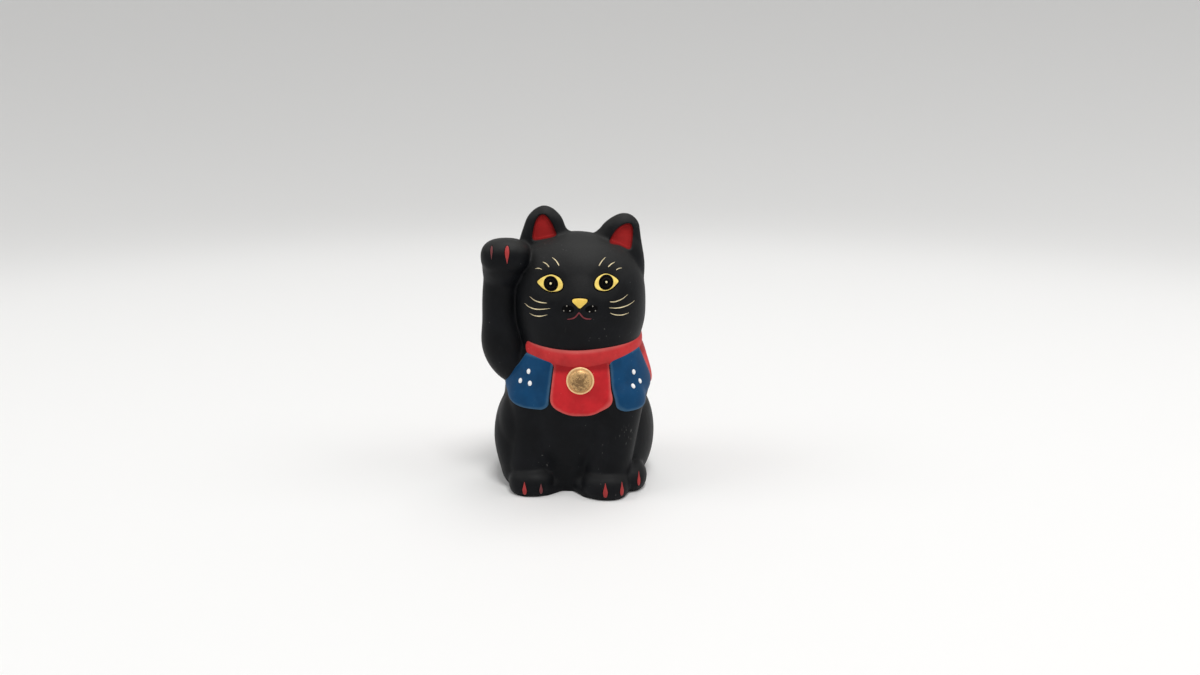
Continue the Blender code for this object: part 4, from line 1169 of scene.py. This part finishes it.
class MODEL_OT_lucky_cat_bell(bpy.types.Operator):
    """Lay the domed bell on the front panel"""

    bl_idname = "lucky_cat.bell"
    bl_label = "Lay the Bell"

    def execute(self, context):
        settings = context.scene.lucky_cat_bib
        top = Skin(bpy.data.objects["bib_front"].data)
        outline = curved(CIRCLE, *BELL_PLACE, settings.bell_radius, settings.bell_radius)
        gold = gold_paint(settings.gold)
        flange = settings.bell_height * FLANGE_SHARE
        lay("bell_rim", top, outline, flange, gold, "gold_paint", fullness=5.0, segments=72, rings=30)
        inner = settings.bell_radius - settings.bell_rim
        outline = curved(CIRCLE, *BELL_PLACE, inner, inner)
        dome = pat(top, from_front, outline, settings.bell_height, segments=72, rings=40)
        points = points_of(dome)
        off = np.hypot(points[:, 0] - BELL_PLACE[0], points[:, 2] - BELL_PLACE[1]) / settings.bell_radius
        dome.attributes.remove(dome.attributes["rim"])
        mark(dome, "rim", np.minimum(off, 1.0))
        add_piece("gold_bell", dome, gold, ["bell"])
        return {"FINISHED"}


class MODEL_OT_lucky_cat_eyes(bpy.types.Operator):
    """Paint the eyes: a black rim, a yellow almond, a ringed pupil and a raised glint"""

    bl_idname = "lucky_cat.eyes"
    bl_label = "Paint the Eyes"

    def execute(self, context):
        settings = context.scene.lucky_cat_face
        yellow = enamel("eye_yellow", settings.yellow, 0.35)
        black = enamel("eye_black", INK, 0.3, shine=0.05)
        brown = enamel("pupil_ring", (0.010, 0.007, 0.005), 0.3, shine=0.05)
        light = enamel("glint", (0.93, 0.80, 0.45), 0.25, 0.05)
        skin = clay_skin()
        for side, (x, z) in EYE_PLACES.items():
            mirror = 1 if side == "right" else -1
            almond = [(mirror * u, v) for u, v in ALMOND]
            width, height = settings.eye_half_width * EYE_WIDTHS[side], settings.eye_half_height
            rim = curved(almond, x, z, width + EYE_RIM, height + EYE_RIM)
            lay(f"eye_rim_{side}", skin, rim, 0.16 * MM, black, "black_enamel", fullness=5.0, segments=72)
            edge = curved(almond, x, z, width, height)
            top = Skin(lay(
                f"eye_{side}_yellow", skin, edge, 0.34 * MM, yellow, "yellow_enamel", [f"eye_{side}"],
                fullness=4.0, segments=72,
            ))
            x, z = x + PUPIL_SHIFTS[side][0], z + PUPIL_SHIFTS[side][1]
            for name, share, thickness in PUPIL_DISCS:
                radius = settings.pupil_radius * share
                paint = brown if name == "ring" else black
                nodes = [f"pupil_{side}"] if name == "disc" else []
                lay(
                    f"pupil_{side}_{name}", top, curved(CIRCLE, x, z, radius, radius), thickness, paint,
                    "black_enamel", nodes, fullness=4.0, segments=40,
                )
            glint = bead(top, from_front, (x, z), (settings.glint_radius,) * 2, GLINT_HEIGHT)
            add_piece(f"glint_{side}_point", glint, light, [f"glint_{side}"])
        return {"FINISHED"}


class MODEL_OT_lucky_cat_muzzle(bpy.types.Operator):
    """Paint the nose, the mouth and the spots that the whiskers grow from"""

    bl_idname = "lucky_cat.muzzle"
    bl_label = "Paint the Muzzle"

    def execute(self, context):
        settings = context.scene.lucky_cat_face
        black = enamel("muzzle_black", INK, 0.35, shine=0.05)
        skin = clay_skin()
        x, z = NOSE_PLACE
        width, height = settings.nose_half_width, settings.nose_half_height
        shadow = curved(NOSE, x, z, width + NOSE_RIM, height + NOSE_RIM)
        lay("nose_rim", skin, shadow, 0.15 * MM, black, "black_enamel", fullness=4.0)
        yellow = enamel("nose_yellow", settings.nose, 0.35)
        nose = curved(NOSE, x, z, width, height)
        lay("nose_yellow", skin, nose, 0.5 * MM, yellow, "yellow_enamel", ["nose"], fullness=2.6, segments=60)
        mouth = brushed(skin, MOUTH, MOUTH_WIDTHS, MOUTH_WIDTH)
        add_piece("mouth", mouth, enamel("mouth_red", settings.mouth, 0.45))
        # A darker black patch either side of the nose
        for side, word in ((-1, "right"), (1, "left")):
            dark_patch = curved(CIRCLE, NOSE_PLACE[0] + side * DARK_PATCH[0], DARK_PATCH[1], *DARK_PATCH_RADII)
            lay(f"smudge_{word}", skin, dark_patch, 0.1 * MM, black, "black_enamel", fullness=3.0)
        pale = enamel("spot_grey", (0.33, 0.31, 0.27), 0.5)
        for number, (x, z) in enumerate(WHISKER_SPOTS, start=1):
            x, z = x * MM, z * MM
            name = f"whisker_spot_{number}"
            ground = curved(CIRCLE, x, z, SPOT_GROUND, SPOT_GROUND)
            lay(f"{name}_ground", skin, ground, 0.11 * MM, black, "black_enamel", segments=20, rings=8)
            spot = bead(skin, from_front, (x, z), (SPOT_RADIUS, SPOT_RADIUS), SPOT_HEIGHT)
            add_piece(name, spot, pale)
        return {"FINISHED"}


class MODEL_OT_lucky_cat_whiskers(bpy.types.Operator):
    """Brush on the whiskers and brows"""

    bl_idname = "lucky_cat.whiskers"
    bl_label = "Brush the Whiskers"

    def execute(self, context):
        settings = context.scene.lucky_cat_face
        cream = enamel("whisker_cream", settings.cream, 0.45, 0.2)
        skin = clay_skin()
        for kind, strokes in (("whisker", WHISKERS), ("brow", BROWS)):
            for name, (path, widths) in strokes.items():
                stroke = brushed(skin, path, widths, settings.whisker_width)
                add_piece(f"{kind}_{name}", stroke, cream)
        return {"FINISHED"}


class MODEL_OT_lucky_cat_ears(bpy.types.Operator):
    """Line the ears' hollows with red"""

    bl_idname = "lucky_cat.ears"
    bl_label = "Line the Ears"

    def execute(self, context):
        settings = context.scene.lucky_cat_face
        # The linings darken towards their edges: painted shade where the hollow's walls shade them
        red = relief_paint("ear_red", settings.ear_red, (0.05, 0.006, 0.006), rim=(0.80, 0.98))
        skin = clay_skin()
        for side in EARS:
            lay(
                f"ear_{side}_red", skin, ear_outline(side), 0.14 * MM, red, "red_enamel",
                [f"ear_lining_{side}"], fullness=6.0, segments=96, rings=40,
            )
        return {"FINISHED"}


class MODEL_OT_lucky_cat_claws(bpy.types.Operator):
    """Paint the claws"""

    bl_idname = "lucky_cat.claws"
    bl_label = "Paint the Claws"

    def execute(self, context):
        settings = context.scene.lucky_cat_face
        red = relief_paint("claw_red", settings.claw_red, (0.5, 0.2, 0.18), rim=(0.85, 1.0), roughness=0.4)
        dull = [c * share for c, share in zip(settings.claw_red, (0.5, 1.1, 1.2))]
        faded = relief_paint("claw_faded", dull, (0.16, 0.09, 0.09), rim=(0.6, 1.0), roughness=0.45)
        black = enamel("claw_rim", INK, 0.4, shine=0.05)
        skin = clay_skin()
        for name, (x, z), (half_width, half_length), way in CLAWS:
            shape = [(u, v * way) for u, v in CLAW]
            rim = curved(shape, x, z, half_width + CLAW_RIM, half_length + CLAW_RIM)
            lay(f"claw_rim_{name}", skin, rim, 0.12 * MM, black, "black_enamel", fullness=4.0)
            claw = curved(shape, x, z, half_width, half_length)
            paint = faded if name in FADED_CLAWS else red
            lay(f"claw_{name}_red", skin, claw, 0.3 * MM, paint, "red_enamel", [f"claw_{name}"])
        return {"FINISHED"}


def lamp(name, place, target, size, power):
    """A square soft lamp."""
    light = bpy.data.lights.new(name, "AREA")
    light.size = size
    light.energy = power
    made = put(name, light)
    made.location = place
    made.rotation_euler = (target - place).to_track_quat("-Z", "Y").to_euler()


class MODEL_OT_lucky_cat_stage(bpy.types.Operator):
    """Set the floor, the light and the camera"""

    bl_idname = "lucky_cat.stage"
    bl_label = "Set the Stage"

    def execute(self, context):
        settings = context.scene.lucky_cat_stage
        scene = context.scene
        scene.view_settings.view_transform = "Standard"

        shape = bmesh.new()
        bmesh.ops.create_grid(shape, x_segments=96, y_segments=60, size=1.0)
        for point in shape.verts:
            angle, share = math.pi * (point.co.x + 1), (point.co.y + 1) / 2
            reach = FLOOR_HEART + (SWEEP_REACH - FLOOR_HEART) * share
            climb = max(0.0, (reach - SWEEP_START) / (SWEEP_REACH - SWEEP_START))
            point.co = (math.sin(angle) * reach, -math.cos(angle) * reach, SWEEP_HEIGHT * climb**2)
        bmesh.ops.remove_doubles(shape, verts=shape.verts, dist=0.1 * MM)
        rims = [edge for edge in shape.edges if edge.is_boundary]
        heart = [edge for edge in rims if edge.verts[0].co.length < SWEEP_START]
        bmesh.ops.holes_fill(shape, edges=heart)
        floor = put("floor", mesh_of(shape, "floor"))
        floor.data.shade_smooth()
        coat = Coat("pale_floor")
        # Painted shade: the floor darkens away from the figure, then the near colour comes back up the sweep
        far = coat.value("VectorMath", {0: coat.places()}, output="Value", operation="LENGTH")
        paint = coat.blend(coat.between(far, *FLOOR_SHADE_FADE), settings.near_floor, settings.shaded_far_floor)
        paint = coat.blend(coat.between(far, FLOOR_RETURN, SWEEP_REACH), paint, settings.near_floor)
        coat.set(Base_Color=paint)
        coat.set(Roughness=0.7, Specular_IOR_Level=0.2)
        floor.data.materials.append(coat.material)

        world = bpy.data.worlds.new("studio")
        scene.world = world
        world.use_nodes = True
        nodes, links = world.node_tree.nodes, world.node_tree.links
        sky = nodes["Background"]
        sky.inputs["Color"].default_value = (1.0, 1.0, 1.0, 1.0)
        sky.inputs["Strength"].default_value = settings.sky
        seen = nodes.new("ShaderNodeBackground")
        seen.inputs["Color"].default_value = (*settings.shaded_far_floor, 1.0)
        path, choice = nodes.new("ShaderNodeLightPath"), nodes.new("ShaderNodeMixShader")
        links.new(path.outputs["Is Camera Ray"], choice.inputs["Fac"])
        links.new(sky.outputs[0], choice.inputs[1])
        links.new(seen.outputs[0], choice.inputs[2])
        links.new(choice.outputs[0], nodes["World Output"].inputs["Surface"])

        aim = NECK + Vector((settings.aim_side, 0.0, settings.aim_height))
        for name, place, target, size, power in LAMPS:
            lamp(name, aim + Vector(place), aim + Vector(target), size, getattr(settings, power))
        lens = bpy.data.cameras.new("camera")
        lens.sensor_width = SENSOR_WIDTH
        lens.lens = settings.lens
        lens.clip_start = NEAR_CLIP
        camera = put("camera", lens)
        back = Vector((0.0, -math.cos(settings.pitch), math.sin(settings.pitch)))
        camera.location = aim + back * settings.distance
        camera.rotation_euler = (-back).to_track_quat("-Z", "Y").to_euler()
        scene.camera = camera
        return {"FINISHED"}


OPERATORS = [
    MODEL_OT_lucky_cat_clay,
    MODEL_OT_lucky_cat_collar,
    MODEL_OT_lucky_cat_bib,
    MODEL_OT_lucky_cat_bell,
    MODEL_OT_lucky_cat_eyes,
    MODEL_OT_lucky_cat_muzzle,
    MODEL_OT_lucky_cat_whiskers,
    MODEL_OT_lucky_cat_ears,
    MODEL_OT_lucky_cat_claws,
    MODEL_OT_lucky_cat_stage,
]
SETTINGS = {
    "lucky_cat_clay": ClaySettings,
    "lucky_cat_bib": BibSettings,
    "lucky_cat_face": FaceSettings,
    "lucky_cat_stage": StageSettings,
}


class VIEW3D_PT_lucky_cat(bpy.types.Panel):
    """The lucky cat's steps and settings"""

    bl_label = "Lucky Cat"
    bl_space_type = "VIEW_3D"
    bl_region_type = "UI"
    bl_category = "Lucky Cat"

    def draw(self, context):
        for step in OPERATORS:
            self.layout.operator(step.bl_idname)
        for name, group in SETTINGS.items():
            box = self.layout.box()
            box.label(text=group.__doc__)
            for field in group.__annotations__:
                box.prop(getattr(context.scene, name), field)


def register():
    for kind in (*SETTINGS.values(), *OPERATORS, VIEW3D_PT_lucky_cat):
        bpy.utils.register_class(kind)
    for name, group in SETTINGS.items():
        setattr(bpy.types.Scene, name, PointerProperty(type=group))


def unregister():
    for name in SETTINGS:
        delattr(bpy.types.Scene, name)
    for kind in reversed((*SETTINGS.values(), *OPERATORS, VIEW3D_PT_lucky_cat)):
        bpy.utils.unregister_class(kind)


def main():
    register()
    for step in OPERATORS:
        group, name = step.bl_idname.split(".")
        getattr(getattr(bpy.ops, group), name)()


if __name__ == "__main__":
    main()
